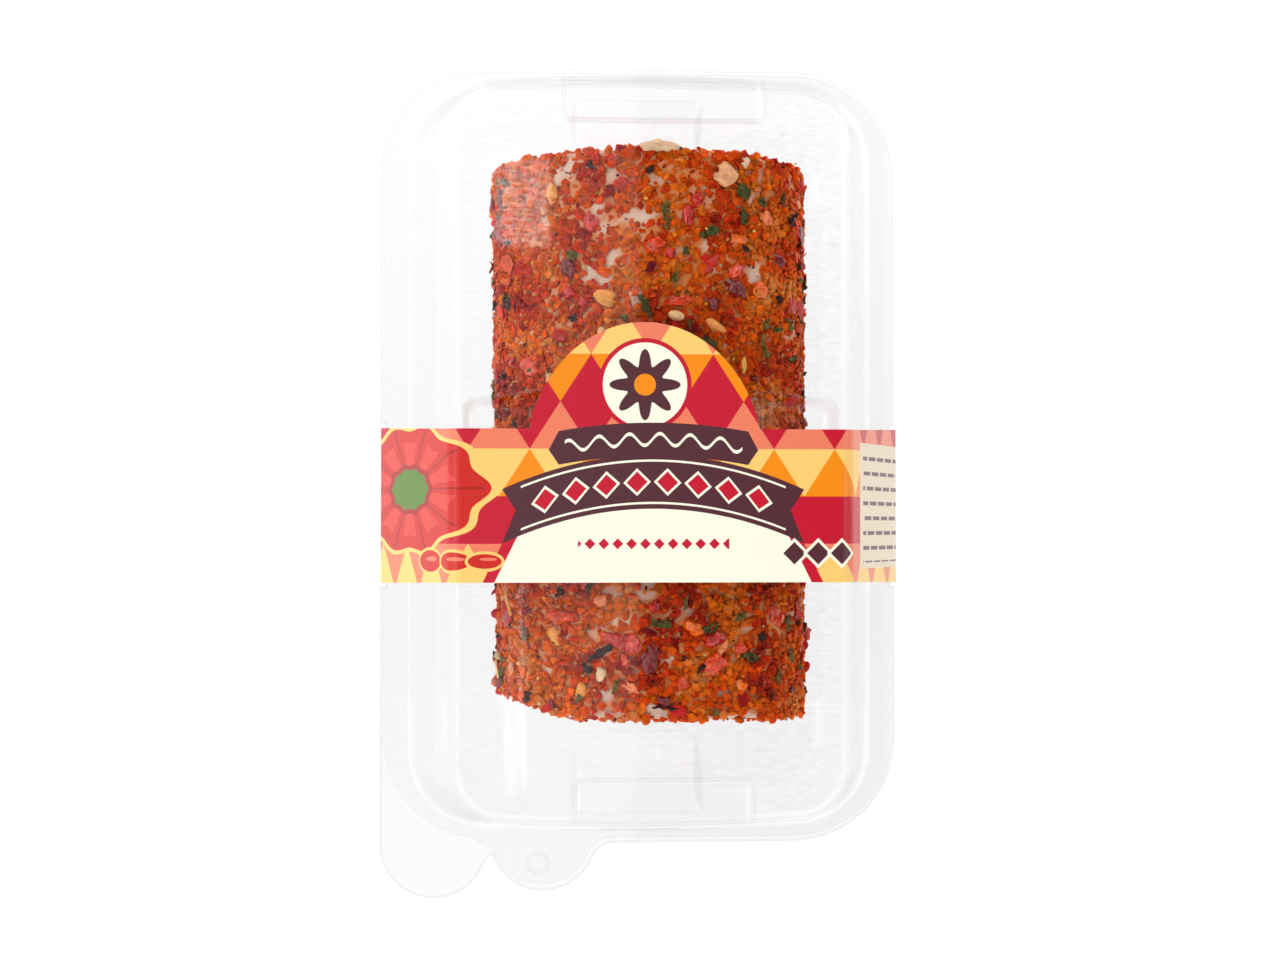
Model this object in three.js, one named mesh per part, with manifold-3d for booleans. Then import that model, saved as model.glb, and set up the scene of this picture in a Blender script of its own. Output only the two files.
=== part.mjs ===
// A pepper-coated roll of fresh cheese in its shut clear pack: a thermoformed tray, a domed lid that is
// pressed onto the tray's rim, and a printed sleeve that is wrapped round both.
// Millimetres. +Z is up, +Y runs along the roll, and the opening tabs are at the -Y end on the -X side.
// The origin is under the middle of the pack, on the face that it rests on.
import * as THREE from "three";
import { mergeVertices } from "three/addons/utils/BufferGeometryUtils.js";
import Module from "manifold-3d";

const wasm = await Module();
wasm.setup();

// The clear sheet's wall, and the room that touching pieces keep.
const WALL = 0.5;
const GAP = 0.3;

// The pack's rim, where the tray and the lid meet.
const TRAY_RIM = { halfWidth: 38, halfLength: 57, radius: 15.3 };
const LID_RIM = { halfWidth: 37.5, halfLength: 56.1, radius: 15 };
const TRAY_RIM_Z = 15.5;
const LID_RIM_Z = TRAY_RIM_Z + WALL + GAP;

// The opening tabs. The tray has an outer and an inner one, and the lid's one lies on the tray's inner one.
// Arcs are given in half turns. A small fillet leads from the inner tab into the rim's straight edge.
const OUTER_TAB = { x: -30.1, y: -56.9, radius: 7.9, end: 1.89 };
const INNER_TAB = { x: -14.2, y: -56.0, radius: 7.9, start: 1.11 };
const LID_TAB = { x: -14.5, y: -55.4, radius: 7.4, start: 1.11 };
const TAB_CLEFT = { x: -22.1, y: -58.7 };
const LID_CORNER_END = 1.455;
const TAB_FILLET = 3.6;

// The tray's bowl and the lid's dome, each by its half sizes at the rim and at its far end.
const BOWL = {
  halfWidth: 33.3, halfLength: 53.4, radius: 10, footWidth: 29.8, footLength: 51.2, footRadius: 8.6, bow: 0.7,
};
const DOME = {
  halfWidth: 33.5, halfLength: 53.2, radius: 10, topWidth: 27.7, topLength: 50.7, topRadius: 7, bow: 1.2,
};
const DOME_TOP_Z = 38.9;
const SHOULDER = 1.8;
const FOOT_ROUND = 2.2;

// The lid's recesses: a closed pocket by the middle of each long side, and a step at each end.
const POCKET = {
  innerX: 14.3, outerX: 25.5, innerHalf: 7.9, outerHalf: 6.4, draft: 0.95, innerZ: 35.4, outerZ: 33.4,
};
const END_STEP = { x: 1.8, depth: 4.4, floorZ: 35.9, farHalfWidth: 13.6, nearHalfWidth: 12 };

// The tray's buttresses, which keep the roll off the end walls.
const BUTTRESS = { x: 0.2, halfWidth: 9.3, topZ: 11, slope: 4, nearTopY: -46.4, farTopY: 48.4 };

// The sleeve and its arched part, and the room that it has in the tray's floor and in the rims.
// Its long edges spread a little from the plateau down to the rim.
const SLEEVE = { thickness: 0.35, halfWidth: 37.85, topLowY: -18.3, topHighY: 2.75, lowY: -18.85, highY: 3.75 };
const SLEEVE_SLACK = 0.6;
const SLEEVE_FOOT_X = 29.2;
const ARCH = { x: -1, y: -1.5, halfWidth: 16.25, height: 18.9 };

// The roll: a slumped cylinder of fresh cheese, its near end cut a little askew.
const ROLL = { halfWidth: 22.2, halfHeight: 16.7, x: 1, z: 19.3, nearY: -37.6, farY: 42.4, edgeRound: 1.6 };
const ROLL_SQUARENESS = 2.25;
const NEAR_SLANT = -0.03;
const UNEVEN = 0.22;

// The coating of dried pepper, as granules and flakes that are sunk a little into the cheese.
const COATING = { pieces: 240, seed: 20927, endMargin: 1.2, sunk: 0.1 };
const COATING_FLOOR_Z = 1.5;
const COATING_CEILING_Z = 37.9;

// How finely curves are stepped.
const CORNER_STEPS = 6;
const END_STEPS = 4;
const ROUND_STEPS = 3;
const TAB_STEPS = 5;
const ARCH_STEPS = 12;
const ROLL_AROUND = 32;
const ROLL_ALONG = 12;

const clearSheet = new THREE.MeshStandardMaterial({
  color: 0xf2f5f6, roughness: 0.06, metalness: 0, transparent: true, opacity: 0.3,
});
const printedCard = new THREE.MeshStandardMaterial({ color: 0xf0a24a, roughness: 0.45, metalness: 0 });
const pepperCoating = new THREE.MeshStandardMaterial({ color: 0xc4571f, roughness: 0.5, metalness: 0 });

// A small seeded generator, so that the coating is the same each time.
function seededRandom(seed) {
  let state = seed >>> 0;
  return () => {
    state = (state + 0x6d2b79f5) >>> 0;
    let mixed = Math.imul(state ^ (state >>> 15), 1 | state);
    mixed = (mixed + Math.imul(mixed ^ (mixed >>> 7), 61 | mixed)) ^ mixed;
    return ((mixed ^ (mixed >>> 14)) >>> 0) / 4294967296;
  };
}

// Turns a closed geometry into a solid that can be joined and cut.
function solidOf(geometry) {
  const bare = geometry.clone();
  bare.deleteAttribute("normal");
  bare.deleteAttribute("uv");
  const merged = mergeVertices(bare, 1e-4);
  return new wasm.Manifold(
    new wasm.Mesh({
      numProp: 3,
      vertProperties: new Float32Array(merged.attributes.position.array),
      triVerts: new Uint32Array(merged.index.array),
    }),
  );
}

// Turns a solid back into a geometry. Only its main body is kept, without loose scraps.
function geometryOf(solid) {
  const bodies = solid.decompose();
  const main = bodies.reduce((best, body) => (body.volume() > best.volume() ? body : best));
  const mesh = main.getMesh();
  const geometry = new THREE.BufferGeometry();
  geometry.setAttribute("position", new THREE.BufferAttribute(new Float32Array(mesh.vertProperties), 3));
  geometry.setIndex(new THREE.BufferAttribute(new Uint32Array(mesh.triVerts), 1));
  return geometry;
}

// A closed solid through rings of points. Each ring turns counter-clockwise, seen from the ring that follows.
function loft(rings) {
  const count = rings[0].length;
  const positions = rings.flat().flatMap((p) => [p.x, p.y, p.z]);
  const index = [];
  for (let ring = 0; ring + 1 < rings.length; ring += 1) {
    for (let i = 0; i < count; i += 1) {
      const a = ring * count + i;
      const b = ring * count + ((i + 1) % count);
      index.push(a, b, b + count, a, b + count, a + count);
    }
  }
  [0, rings.length - 1].forEach((ring) => {
    const centre = new THREE.Vector3();
    rings[ring].forEach((p) => centre.addScaledVector(p, 1 / count));
    const hub = positions.length / 3;
    positions.push(centre.x, centre.y, centre.z);
    for (let i = 0; i < count; i += 1) {
      const a = ring * count + i;
      const b = ring * count + ((i + 1) % count);
      index.push(...(ring === 0 ? [hub, b, a] : [hub, a, b]));
    }
  });
  const geometry = new THREE.BufferGeometry();
  geometry.setAttribute("position", new THREE.Float32BufferAttribute(positions, 3));
  geometry.setIndex(index);
  return solidOf(geometry);
}

// A rounded rectangle at a height. Its short sides bow outwards by the given amount.
function roundedRing(halfWidth, halfLength, radius, bow, z) {
  const corners = [
    [1, -1, -Math.PI / 2],
    [1, 1, 0],
    [-1, 1, Math.PI / 2],
    [-1, -1, Math.PI],
  ];
  const points = [];
  corners.forEach(([sideX, sideY, from]) => {
    for (let step = 0; step <= CORNER_STEPS; step += 1) {
      const angle = from + (step / CORNER_STEPS) * (Math.PI / 2);
      const x = sideX * (halfWidth - radius) + radius * Math.cos(angle);
      const y = sideY * (halfLength - radius) + radius * Math.sin(angle);
      points.push(new THREE.Vector3(x, y, z));
    }
    if (sideX * sideY > 0) {
      for (let step = 1; step < END_STEPS; step += 1) {
        const x = sideX * (halfWidth - radius) * (1 - (2 * step) / END_STEPS);
        points.push(new THREE.Vector3(x, sideY * halfLength, z));
      }
    }
  });
  points.forEach((p) => {
    p.y += Math.sign(p.y) * bow * (1 - (p.x / halfWidth) ** 2);
  });
  return points;
}

// A plate with a flat outline in the X-Y plane.
function plate(shape, z, thickness, steps) {
  const geometry = new THREE.ExtrudeGeometry(shape, {
    depth: thickness, bevelEnabled: false, curveSegments: steps,
  });
  geometry.translate(0, 0, z);
  return solidOf(geometry);
}

function box(low, high) {
  const geometry = new THREE.BoxGeometry(high[0] - low[0], high[1] - low[1], high[2] - low[2]);
  geometry.translate((low[0] + high[0]) / 2, (low[1] + high[1]) / 2, (low[2] + high[2]) / 2);
  return solidOf(geometry);
}

// Three of the rim's four corners, from the -Y edge round to the -X edge.
function addRimCorners(shape, rim) {
  const x = rim.halfWidth - rim.radius;
  const y = rim.halfLength - rim.radius;
  shape.absarc(x, -y, rim.radius, -Math.PI / 2, 0, false);
  shape.absarc(x, y, rim.radius, 0, Math.PI / 2, false);
  shape.absarc(-x, y, rim.radius, Math.PI / 2, Math.PI, false);
}

// A tab's arc, and the fillet that leads from it into the rim's straight -Y edge.
function addTabAndFillet(shape, tab, edgeY) {
  const filletY = edgeY - TAB_FILLET;
  const reach = tab.radius + TAB_FILLET;
  const filletX = tab.x + Math.sqrt(reach ** 2 - (filletY - tab.y) ** 2);
  const meeting = Math.atan2(filletY - tab.y, filletX - tab.x);
  shape.absarc(tab.x, tab.y, tab.radius, tab.start * Math.PI, meeting + 2 * Math.PI, false);
  shape.absarc(filletX, filletY, TAB_FILLET, meeting + Math.PI, Math.PI / 2, true);
}

// The tray's rim: its -X, -Y corner runs out into two round tabs.
function trayRimShape() {
  const shape = new THREE.Shape();
  addRimCorners(shape, TRAY_RIM);
  shape.absarc(OUTER_TAB.x, OUTER_TAB.y, OUTER_TAB.radius, Math.PI, OUTER_TAB.end * Math.PI, false);
  shape.lineTo(TAB_CLEFT.x, TAB_CLEFT.y);
  addTabAndFillet(shape, INNER_TAB, -TRAY_RIM.halfLength);
  shape.closePath();
  return shape;
}

// The lid's rim: its -X, -Y corner is round, and its one tab is beside that corner.
function lidRimShape() {
  const shape = new THREE.Shape();
  const x = LID_RIM.radius - LID_RIM.halfWidth;
  const y = LID_RIM.radius - LID_RIM.halfLength;
  addRimCorners(shape, LID_RIM);
  shape.absarc(x, y, LID_RIM.radius, Math.PI, LID_CORNER_END * Math.PI, false);
  addTabAndFillet(shape, LID_TAB, -LID_RIM.halfLength);
  shape.closePath();
  return shape;
}

// The nick in both long edges of a rim that the sleeve sits in.
function sleeveNicks(rimZ) {
  const inner = SLEEVE.halfWidth - SLEEVE.thickness - GAP;
  return [-1, 1].map((side) => {
    const edges = [side * inner, side * 2 * inner].sort((a, b) => a - b);
    return box(
      [edges[0], SLEEVE.lowY - SLEEVE_SLACK, rimZ - WALL],
      [edges[1], SLEEVE.highY + SLEEVE_SLACK, rimZ + 2 * WALL],
    );
  });
}

// The bowl's form, from its foot up to a height, drawn in by an inset.
function bowlForm(inset, topZ) {
  const rings = [];
  const addRing = (z, pull) => {
    const share = z / TRAY_RIM_Z;
    rings.push(
      roundedRing(
        THREE.MathUtils.lerp(BOWL.footWidth, BOWL.halfWidth, share) - inset - pull,
        THREE.MathUtils.lerp(BOWL.footLength, BOWL.halfLength, share) - inset - pull,
        THREE.MathUtils.lerp(BOWL.footRadius, BOWL.radius, share) - inset - pull,
        BOWL.bow,
        z,
      ),
    );
  };
  const round = FOOT_ROUND - inset;
  for (let step = 0; step <= ROUND_STEPS; step += 1) {
    const angle = (step / ROUND_STEPS) * (Math.PI / 2);
    addRing(inset + round * (1 - Math.cos(angle)), round * (1 - Math.sin(angle)));
  }
  addRing(topZ, 0);
  return loft(rings);
}

// A buttress at one end of the bowl, as the space that it takes out of the bowl's form.
function buttressForm(end, grow) {
  const topY = end < 0 ? BUTTRESS.nearTopY : BUTTRESS.farTopY;
  const footY = topY - end * (BUTTRESS.slope + grow);
  const outerY = end * 2 * BOWL.halfLength;
  const topZ = BUTTRESS.topZ + grow;
  const section = [
    [outerY, -topZ],
    [footY, -topZ],
    [footY, WALL],
    [topY - end * grow, topZ],
    [outerY, topZ],
  ];
  if (end < 0) section.reverse();
  const half = BUTTRESS.halfWidth + grow;
  const rings = [BUTTRESS.x + half, BUTTRESS.x - half].map((x) =>
    section.map(([y, z]) => new THREE.Vector3(x, y, z)));
  return loft(rings);
}

// The channel across the tray's underside that the sleeve runs in.
function channelForm(grow) {
  const x = 2 * BOWL.halfWidth;
  const ceiling = SLEEVE.thickness + GAP + grow;
  return box(
    [-x, SLEEVE.lowY - SLEEVE_SLACK - grow, -ceiling],
    [x, SLEEVE.highY + SLEEVE_SLACK + grow, ceiling],
  );
}

function makeTray() {
  let outside = bowlForm(0, TRAY_RIM_Z + WALL).subtract(channelForm(0));
  let inside = bowlForm(WALL, TRAY_RIM_Z + 2 * WALL).subtract(channelForm(WALL));
  [-1, 1].forEach((end) => {
    outside = outside.subtract(buttressForm(end, 0));
    inside = inside.subtract(buttressForm(end, WALL));
  });
  let tray = outside.add(plate(trayRimShape(), TRAY_RIM_Z, WALL, TAB_STEPS)).subtract(inside);
  sleeveNicks(TRAY_RIM_Z).forEach((nick) => {
    tray = tray.subtract(nick);
  });
  return geometryOf(tray);
}

// The dome's form, from a height up to its top, drawn in by an inset.
function domeForm(inset, fromZ) {
  const round = SHOULDER - inset;
  const bow = DOME.bow;
  const rings = [
    roundedRing(DOME.halfWidth - inset, DOME.halfLength - inset, DOME.radius - inset, bow, fromZ),
  ];
  for (let step = 0; step <= ROUND_STEPS; step += 1) {
    const angle = (step / ROUND_STEPS) * (Math.PI / 2);
    const pull = inset + round * (1 - Math.cos(angle));
    const z = DOME_TOP_Z - SHOULDER + round * Math.sin(angle);
    rings.push(roundedRing(DOME.topWidth - pull, DOME.topLength - pull, DOME.topRadius - pull, bow, z));
  }
  return loft(rings);
}

// A pocket beside one long edge of the plateau. Its floor falls outwards and its walls lean.
function pocketForm(side, grow) {
  const { innerX, outerX, innerHalf, outerHalf, draft, innerZ, outerZ } = POCKET;
  const ring = (lean, lift) => {
    const inner = innerX + lean - grow;
    const outer = outerX - lean / 2 + grow;
    const points = [
      [inner, lean - innerHalf - grow, innerZ - grow + lift],
      [outer, lean - outerHalf - grow, outerZ - grow + lift],
      [outer, outerHalf - lean + grow, outerZ - grow + lift],
      [inner, innerHalf - lean + grow, innerZ - grow + lift],
    ];
    if (side < 0) points.reverse();
    return points.map(([x, y, z]) => new THREE.Vector3(side * x, y, z));
  };
  const depth = DOME_TOP_Z - (innerZ + outerZ) / 2;
  return loft([ring(draft, 0), ring(-draft, 2 * depth)]);
}

// The step at one end of the plateau, open to the end wall.
function endStepForm(end, grow) {
  const half = (end > 0 ? END_STEP.farHalfWidth : END_STEP.nearHalfWidth) + grow;
  const flatEndY = DOME.topLength + DOME.bow - SHOULDER;
  const spanY = [end * (flatEndY - END_STEP.depth - grow), end * 2 * flatEndY].sort((a, b) => a - b);
  return box(
    [END_STEP.x - half, spanY[0], END_STEP.floorZ - grow],
    [END_STEP.x + half, spanY[1], 2 * DOME_TOP_Z - END_STEP.floorZ],
  );
}

function makeLid() {
  let outside = domeForm(0, LID_RIM_Z);
  let inside = domeForm(WALL, LID_RIM_Z - WALL);
  [-1, 1].forEach((side) => {
    outside = outside.subtract(pocketForm(side, 0)).subtract(endStepForm(side, 0));
    inside = inside.subtract(pocketForm(side, WALL)).subtract(endStepForm(side, WALL));
  });
  let lid = outside.add(plate(lidRimShape(), LID_RIM_Z, WALL, TAB_STEPS)).subtract(inside);
  sleeveNicks(LID_RIM_Z).forEach((nick) => {
    lid = lid.subtract(nick);
  });
  return geometryOf(lid);
}

// The sleeve's run round the pack in the X-Z plane, at an inset from its outer face. It is taut between
// the bends round the plateau's shoulders, the rim's edges and the tray's foot.
function sleevePath(inset) {
  const bend = (x, z, radius, angles) =>
    angles.map((degrees) => {
      const angle = THREE.MathUtils.degToRad(degrees);
      return [x + (radius - inset) * Math.cos(angle), z + (radius - inset) * Math.sin(angle)];
    });
  const half = [
    ...bend(SLEEVE_FOOT_X, SLEEVE.thickness + GAP, SLEEVE.thickness + GAP, [-90, -60, -30]),
    [SLEEVE.halfWidth - inset, TRAY_RIM_Z - GAP],
    [SLEEVE.halfWidth - inset, LID_RIM_Z + WALL + GAP],
    ...bend(
      DOME.topWidth - SHOULDER, DOME_TOP_Z - SHOULDER, SHOULDER + GAP + SLEEVE.thickness, [26, 47, 68, 90],
    ),
  ];
  const mirrored = half.map(([x, z]) => [-x, z]).reverse();
  return [...half, ...mirrored];
}

function makeSleeve() {
  const ring = (sign, inset, beyond) =>
    sleevePath(inset).map(([x, z]) => {
      const rise = (z - LID_RIM_Z) / (DOME_TOP_Z - SHOULDER - LID_RIM_Z);
      const share = THREE.MathUtils.clamp(rise, 0, 1);
      const y = sign > 0
        ? THREE.MathUtils.lerp(SLEEVE.highY, SLEEVE.topHighY, share)
        : THREE.MathUtils.lerp(SLEEVE.lowY, SLEEVE.topLowY, share);
      return new THREE.Vector3(x, y + sign * beyond, z);
    });
  const outer = loft([ring(1, 0, 0), ring(-1, 0, 0)]);
  const inner = loft([ring(1, SLEEVE.thickness, 1), ring(-1, SLEEVE.thickness, 1)]);
  const arch = new THREE.Shape();
  arch.absellipse(ARCH.x, ARCH.y, ARCH.halfWidth, ARCH.height, 0, Math.PI, false, 0);
  arch.closePath();
  return geometryOf(outer.subtract(inner).add(plate(arch, DOME_TOP_Z + GAP, SLEEVE.thickness, ARCH_STEPS)));
}

// A point on the roll's surface, by its angle round the roll and its place along it.
function rollPoint(angle, y, sunk) {
  const c = Math.cos(angle);
  const s = Math.sin(angle);
  const power = ROLL_SQUARENESS;
  const reach = 1 / (Math.abs(c) ** power + Math.abs(s) ** power) ** (1 / power);
  return new THREE.Vector3(
    ROLL.x + (ROLL.halfWidth - sunk) * reach * c,
    y,
    ROLL.z + (ROLL.halfHeight - sunk) * reach * s,
  );
}

// How far the askew cut moves a point along the roll.
function slantAt(p) {
  const share = (p.y - ROLL.nearY) / (ROLL.farY - ROLL.nearY);
  return NEAR_SLANT * (p.x - ROLL.x) * (1 - share);
}

// The bare roll, slightly uneven, with rounded end edges.
function rollCore(random) {
  const rings = [];
  const addRing = (y, sunk) => {
    const ring = [];
    for (let i = 0; i < ROLL_AROUND; i += 1) {
      const angle = -(i / ROLL_AROUND) * 2 * Math.PI;
      const p = rollPoint(angle, y, sunk + UNEVEN * (2 * random() - 1));
      p.y += slantAt(p);
      ring.push(p);
    }
    rings.push(ring);
  };
  const { nearY, farY, edgeRound } = ROLL;
  for (let step = 0; step <= ROUND_STEPS; step += 1) {
    const angle = (step / ROUND_STEPS) * (Math.PI / 2);
    addRing(nearY + edgeRound * (1 - Math.sin(angle)), edgeRound * (1 - Math.cos(angle)));
  }
  rings.reverse();
  for (let step = 1; step < ROLL_ALONG; step += 1) {
    addRing(THREE.MathUtils.lerp(nearY + edgeRound, farY - edgeRound, step / ROLL_ALONG), 0);
  }
  for (let step = 0; step <= ROUND_STEPS; step += 1) {
    const angle = (step / ROUND_STEPS) * (Math.PI / 2);
    addRing(farY - edgeRound * (1 - Math.sin(angle)), edgeRound * (1 - Math.cos(angle)));
  }
  return loft(rings);
}

// One flake or granule: a lumpy 20-sided grain, laid on the roll's surface and turned at random.
// Turns by the golden angle and even steps along the roll spread the grains evenly.
function coatingGrain(random, index) {
  const goldenAngle = Math.PI * (3 - Math.sqrt(5));
  const low = ROLL.nearY + COATING.endMargin;
  const high = ROLL.farY - COATING.endMargin;
  const along = THREE.MathUtils.lerp(low, high, (index + 0.5) / COATING.pieces) + 2 * random() - 1;
  const angle = index * goldenAngle + 0.2 * random();
  const at = rollPoint(angle, THREE.MathUtils.clamp(along, low, high), COATING.sunk);
  at.y += slantAt(at);
  const outward = new THREE.Vector3(at.x - ROLL.x, 0, (at.z - ROLL.z) * (ROLL.halfWidth / ROLL.halfHeight));
  const grain = new THREE.IcosahedronGeometry(1, 0);
  grain.deleteAttribute("normal");
  grain.deleteAttribute("uv");
  const merged = mergeVertices(grain, 1e-4);
  const place = merged.attributes.position;
  for (let i = 0; i < place.count; i += 1) {
    const swell = 0.8 + 0.4 * random();
    place.setXYZ(i, place.getX(i) * swell, place.getY(i) * swell, place.getZ(i) * swell);
  }
  merged.scale(1.15 + 0.95 * random(), 0.85 + 0.55 * random(), 0.7 + 0.35 * random());
  merged.rotateZ(random() * 2 * Math.PI);
  merged.applyQuaternion(
    new THREE.Quaternion().setFromUnitVectors(new THREE.Vector3(0, 0, 1), outward.normalize()),
  );
  merged.translate(at.x, at.y, at.z);
  for (let i = 0; i < place.count; i += 1) {
    place.setZ(i, THREE.MathUtils.clamp(place.getZ(i), COATING_FLOOR_Z, COATING_CEILING_Z));
  }
  return solidOf(merged);
}

function makeRoll() {
  const random = seededRandom(COATING.seed);
  const pieces = [rollCore(random)];
  for (let index = 0; index < COATING.pieces; index += 1) pieces.push(coatingGrain(random, index));
  return geometryOf(wasm.Manifold.union(pieces));
}

function named(name, geometry, material) {
  const mesh = new THREE.Mesh(geometry, material);
  mesh.name = name;
  return mesh;
}

const pack = new THREE.Group();
pack.add(named("tray", makeTray(), clearSheet));
pack.add(named("lid", makeLid(), clearSheet));
pack.add(named("sleeve", makeSleeve(), printedCard));
pack.add(named("cheese_roll", makeRoll(), pepperCoating));

export default pack;
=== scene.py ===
import math

import bpy
import bmesh
import numpy as np
from mathutils import Matrix, Vector, noise


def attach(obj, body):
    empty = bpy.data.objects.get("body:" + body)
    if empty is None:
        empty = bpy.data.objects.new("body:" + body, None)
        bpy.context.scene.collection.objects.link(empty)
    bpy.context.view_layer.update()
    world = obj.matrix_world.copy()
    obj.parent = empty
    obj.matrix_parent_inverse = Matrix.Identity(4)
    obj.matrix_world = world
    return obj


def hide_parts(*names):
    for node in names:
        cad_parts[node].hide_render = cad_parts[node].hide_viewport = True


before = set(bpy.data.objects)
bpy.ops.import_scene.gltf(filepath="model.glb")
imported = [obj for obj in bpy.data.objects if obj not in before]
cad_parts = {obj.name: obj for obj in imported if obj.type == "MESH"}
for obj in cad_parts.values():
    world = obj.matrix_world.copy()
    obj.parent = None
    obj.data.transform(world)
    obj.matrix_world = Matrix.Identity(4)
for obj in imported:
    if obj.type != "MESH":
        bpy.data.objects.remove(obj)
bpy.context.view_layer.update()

# The clear tray
# A sheet of clear plastic, drawn down into a bowl with a rim, two pull tabs and a buttress in each end wall.
# It is made as the closed form of its underside, which is then opened at the top and given the sheet's wall.
MM = 0.001
SHEET = 0.45
CORNER_STEPS = 16
END_STEPS = 8
ROUND_STEPS = 7
DRAFT = math.radians(15)
RIM_Z = 15.5
TRAY_RIM = {"half_width": 38, "half_length": 57, "radius": 15.3}
OUTER_TAB = (-30.1, -56.9, 7.9)
INNER_TAB = (-14.2, -56.0, 7.9)
TAB_CLEFT = (-22.1, -58.7)
TAB_FILLET = 3.6
TAB_RING = (-15.0, -59.8)
RING_REACH = 3
BOWL_FOOT = {"half_width": 29.8, "half_length": 51.2, "radius": 8.6, "bow": 0.7}
BOWL_MOUTH = {"half_width": 33.3, "half_length": 53.4, "radius": 10, "bow": 0.7}
FOOT_ROUND = 2.2
RIM_FILLET = 1.0
CHANNEL_CEILING = 0.65
SLEEVE_SPAN = (-19.45, 4.35)
SLEEVE_EDGE = 37.2
CHANNEL_ROUND = 0.3
RECESS_ROUND = 0.4
BUTTRESS_X = (-9.1, 9.5)
BUTTRESS_TOP = 11
BUTTRESS_FOOT = -6
BUTTRESS_SLOPE = 4
BUTTRESS_HEADS = {-1: -46.4, 1: 48.4}
BUTTRESS_ROUND = 1.1
CUT_ROUND = 0.35
CUT_STRIP = 1.2
RING_MARK = 0.4
EDGE_TOLERANCE = 0.02
SHARP_ANGLE = math.radians(40)
SMOOTH_ANGLE = math.radians(32)


def arc(x, y, radius, start, end, steps):
    """Points along an arc, whose angles are given in half turns."""
    angles = np.linspace(start * math.pi, end * math.pi, steps + 1)
    return [(x + radius * math.cos(a), y + radius * math.sin(a)) for a in angles]


def rim_corners(half_width, half_length, radius):
    """Three of a rim's corners, from the short edge with the tabs round to the long edge on their side."""
    x, y = half_width - radius, half_length - radius
    turns = ((x, -y, -0.5), (x, y, 0), (-x, y, 0.5))
    return [p for cx, cy, start in turns for p in arc(cx, cy, radius, start, start + 0.5, CORNER_STEPS)]


def tab_and_fillet(tab, start, edge_y):
    """A tab's arc, and the fillet that leads from it into the rim's straight edge."""
    x, y, radius = tab
    fillet_y = edge_y - TAB_FILLET
    fillet_x = x + math.sqrt((radius + TAB_FILLET) ** 2 - (fillet_y - y) ** 2)
    meeting = math.atan2(fillet_y - y, fillet_x - x) / math.pi
    lobe = arc(x, y, radius, start, meeting + 2, 24)
    return lobe + arc(fillet_x, fillet_y, TAB_FILLET, meeting + 1, 0.5, 8)[1:]


def raised(outline, z):
    """A flat outline as a ring of points at a height."""
    return [(x, y, z) for x, y in outline]


def rounded_rectangle(half_width, half_length, radius, bow, z):
    """A ring in the shape of a rounded rectangle whose short sides bow outwards."""
    points = []
    for side_x, side_y, start in ((1, -1, -0.5), (1, 1, 0), (-1, 1, 0.5), (-1, -1, 1)):
        x, y = side_x * (half_width - radius), side_y * (half_length - radius)
        points += arc(x, y, radius, start, start + 0.5, CORNER_STEPS)
        if side_x * side_y > 0:
            points += [(x * (1 - 2 * step / END_STEPS), side_y * half_length) for step in range(1, END_STEPS)]
    return [(x, y + math.copysign(bow * (1 - (x / half_width) ** 2), y), z) for x, y in points]


def between(low, high, share):
    """The sizes of a rounded rectangle part of the way from one to another."""
    return {key: low[key] + (high[key] - low[key]) * share for key in low}


def grown(sizes, by):
    """A rounded rectangle's sizes, grown all round."""
    return {key: value + (0 if key == "bow" else by) for key, value in sizes.items()}


def pick(piece):
    """Makes a piece the active one, and the only one selected."""
    bpy.ops.object.select_all(action="DESELECT")
    bpy.context.view_layer.objects.active = piece
    piece.select_set(True)


def turn_outwards():
    """Turns all faces of the active piece outwards."""
    bpy.ops.object.mode_set(mode="EDIT")
    bpy.ops.mesh.select_all(action="SELECT")
    bpy.ops.mesh.normals_make_consistent(inside=False)
    bpy.ops.object.mode_set(mode="OBJECT")


def stacked_form(name, rings):
    """A closed form, extruded ring by ring from a disc."""
    count = len(rings[0])
    bpy.ops.object.select_all(action="DESELECT")
    bpy.ops.mesh.primitive_circle_add(vertices=count, radius=1, fill_type="NGON")
    form = bpy.context.object
    form.name = form.data.name = name
    bpy.ops.object.mode_set(mode="EDIT")
    bpy.ops.mesh.select_all(action="SELECT")
    for _ in rings[1:]:
        bpy.ops.mesh.extrude_region_move(TRANSFORM_OT_translate={"value": (0, 0, 1)})
    bpy.ops.object.mode_set(mode="OBJECT")
    first = math.atan2(form.data.vertices[0].co.y, form.data.vertices[0].co.x)
    for vertex in form.data.vertices:
        turn = (math.atan2(vertex.co.y, vertex.co.x) - first) / math.tau
        vertex.co = Vector(rings[round(vertex.co.z)][round(turn * count) % count]) * MM
    turn_outwards()
    return form


def edit_parts(piece, kind, chosen):
    """Starts to edit a piece, with those of its edges or faces selected that are chosen."""
    pick(piece)
    bpy.ops.object.mode_set(mode="EDIT")
    bpy.ops.mesh.select_mode(type=kind)
    bpy.ops.mesh.select_all(action="DESELECT")
    mesh = bmesh.from_edit_mesh(piece.data)
    for part in mesh.edges if kind == "EDGE" else mesh.faces:
        part.select = chosen(part)
    bmesh.update_edit_mesh(piece.data)


def round_edges(piece, width, where):
    """Bevels the sharp edges whose middle, in millimetres, is where it is asked for."""
    def chosen(edge):
        middle = (edge.verts[0].co + edge.verts[1].co) / 2 / MM
        return edge.calc_face_angle(0) > SHARP_ANGLE and where(middle)
    edit_parts(piece, "EDGE", chosen)
    bpy.ops.mesh.bevel(offset=width * MM, segments=3, clamp_overlap=True)
    bpy.ops.object.mode_set(mode="OBJECT")


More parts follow.
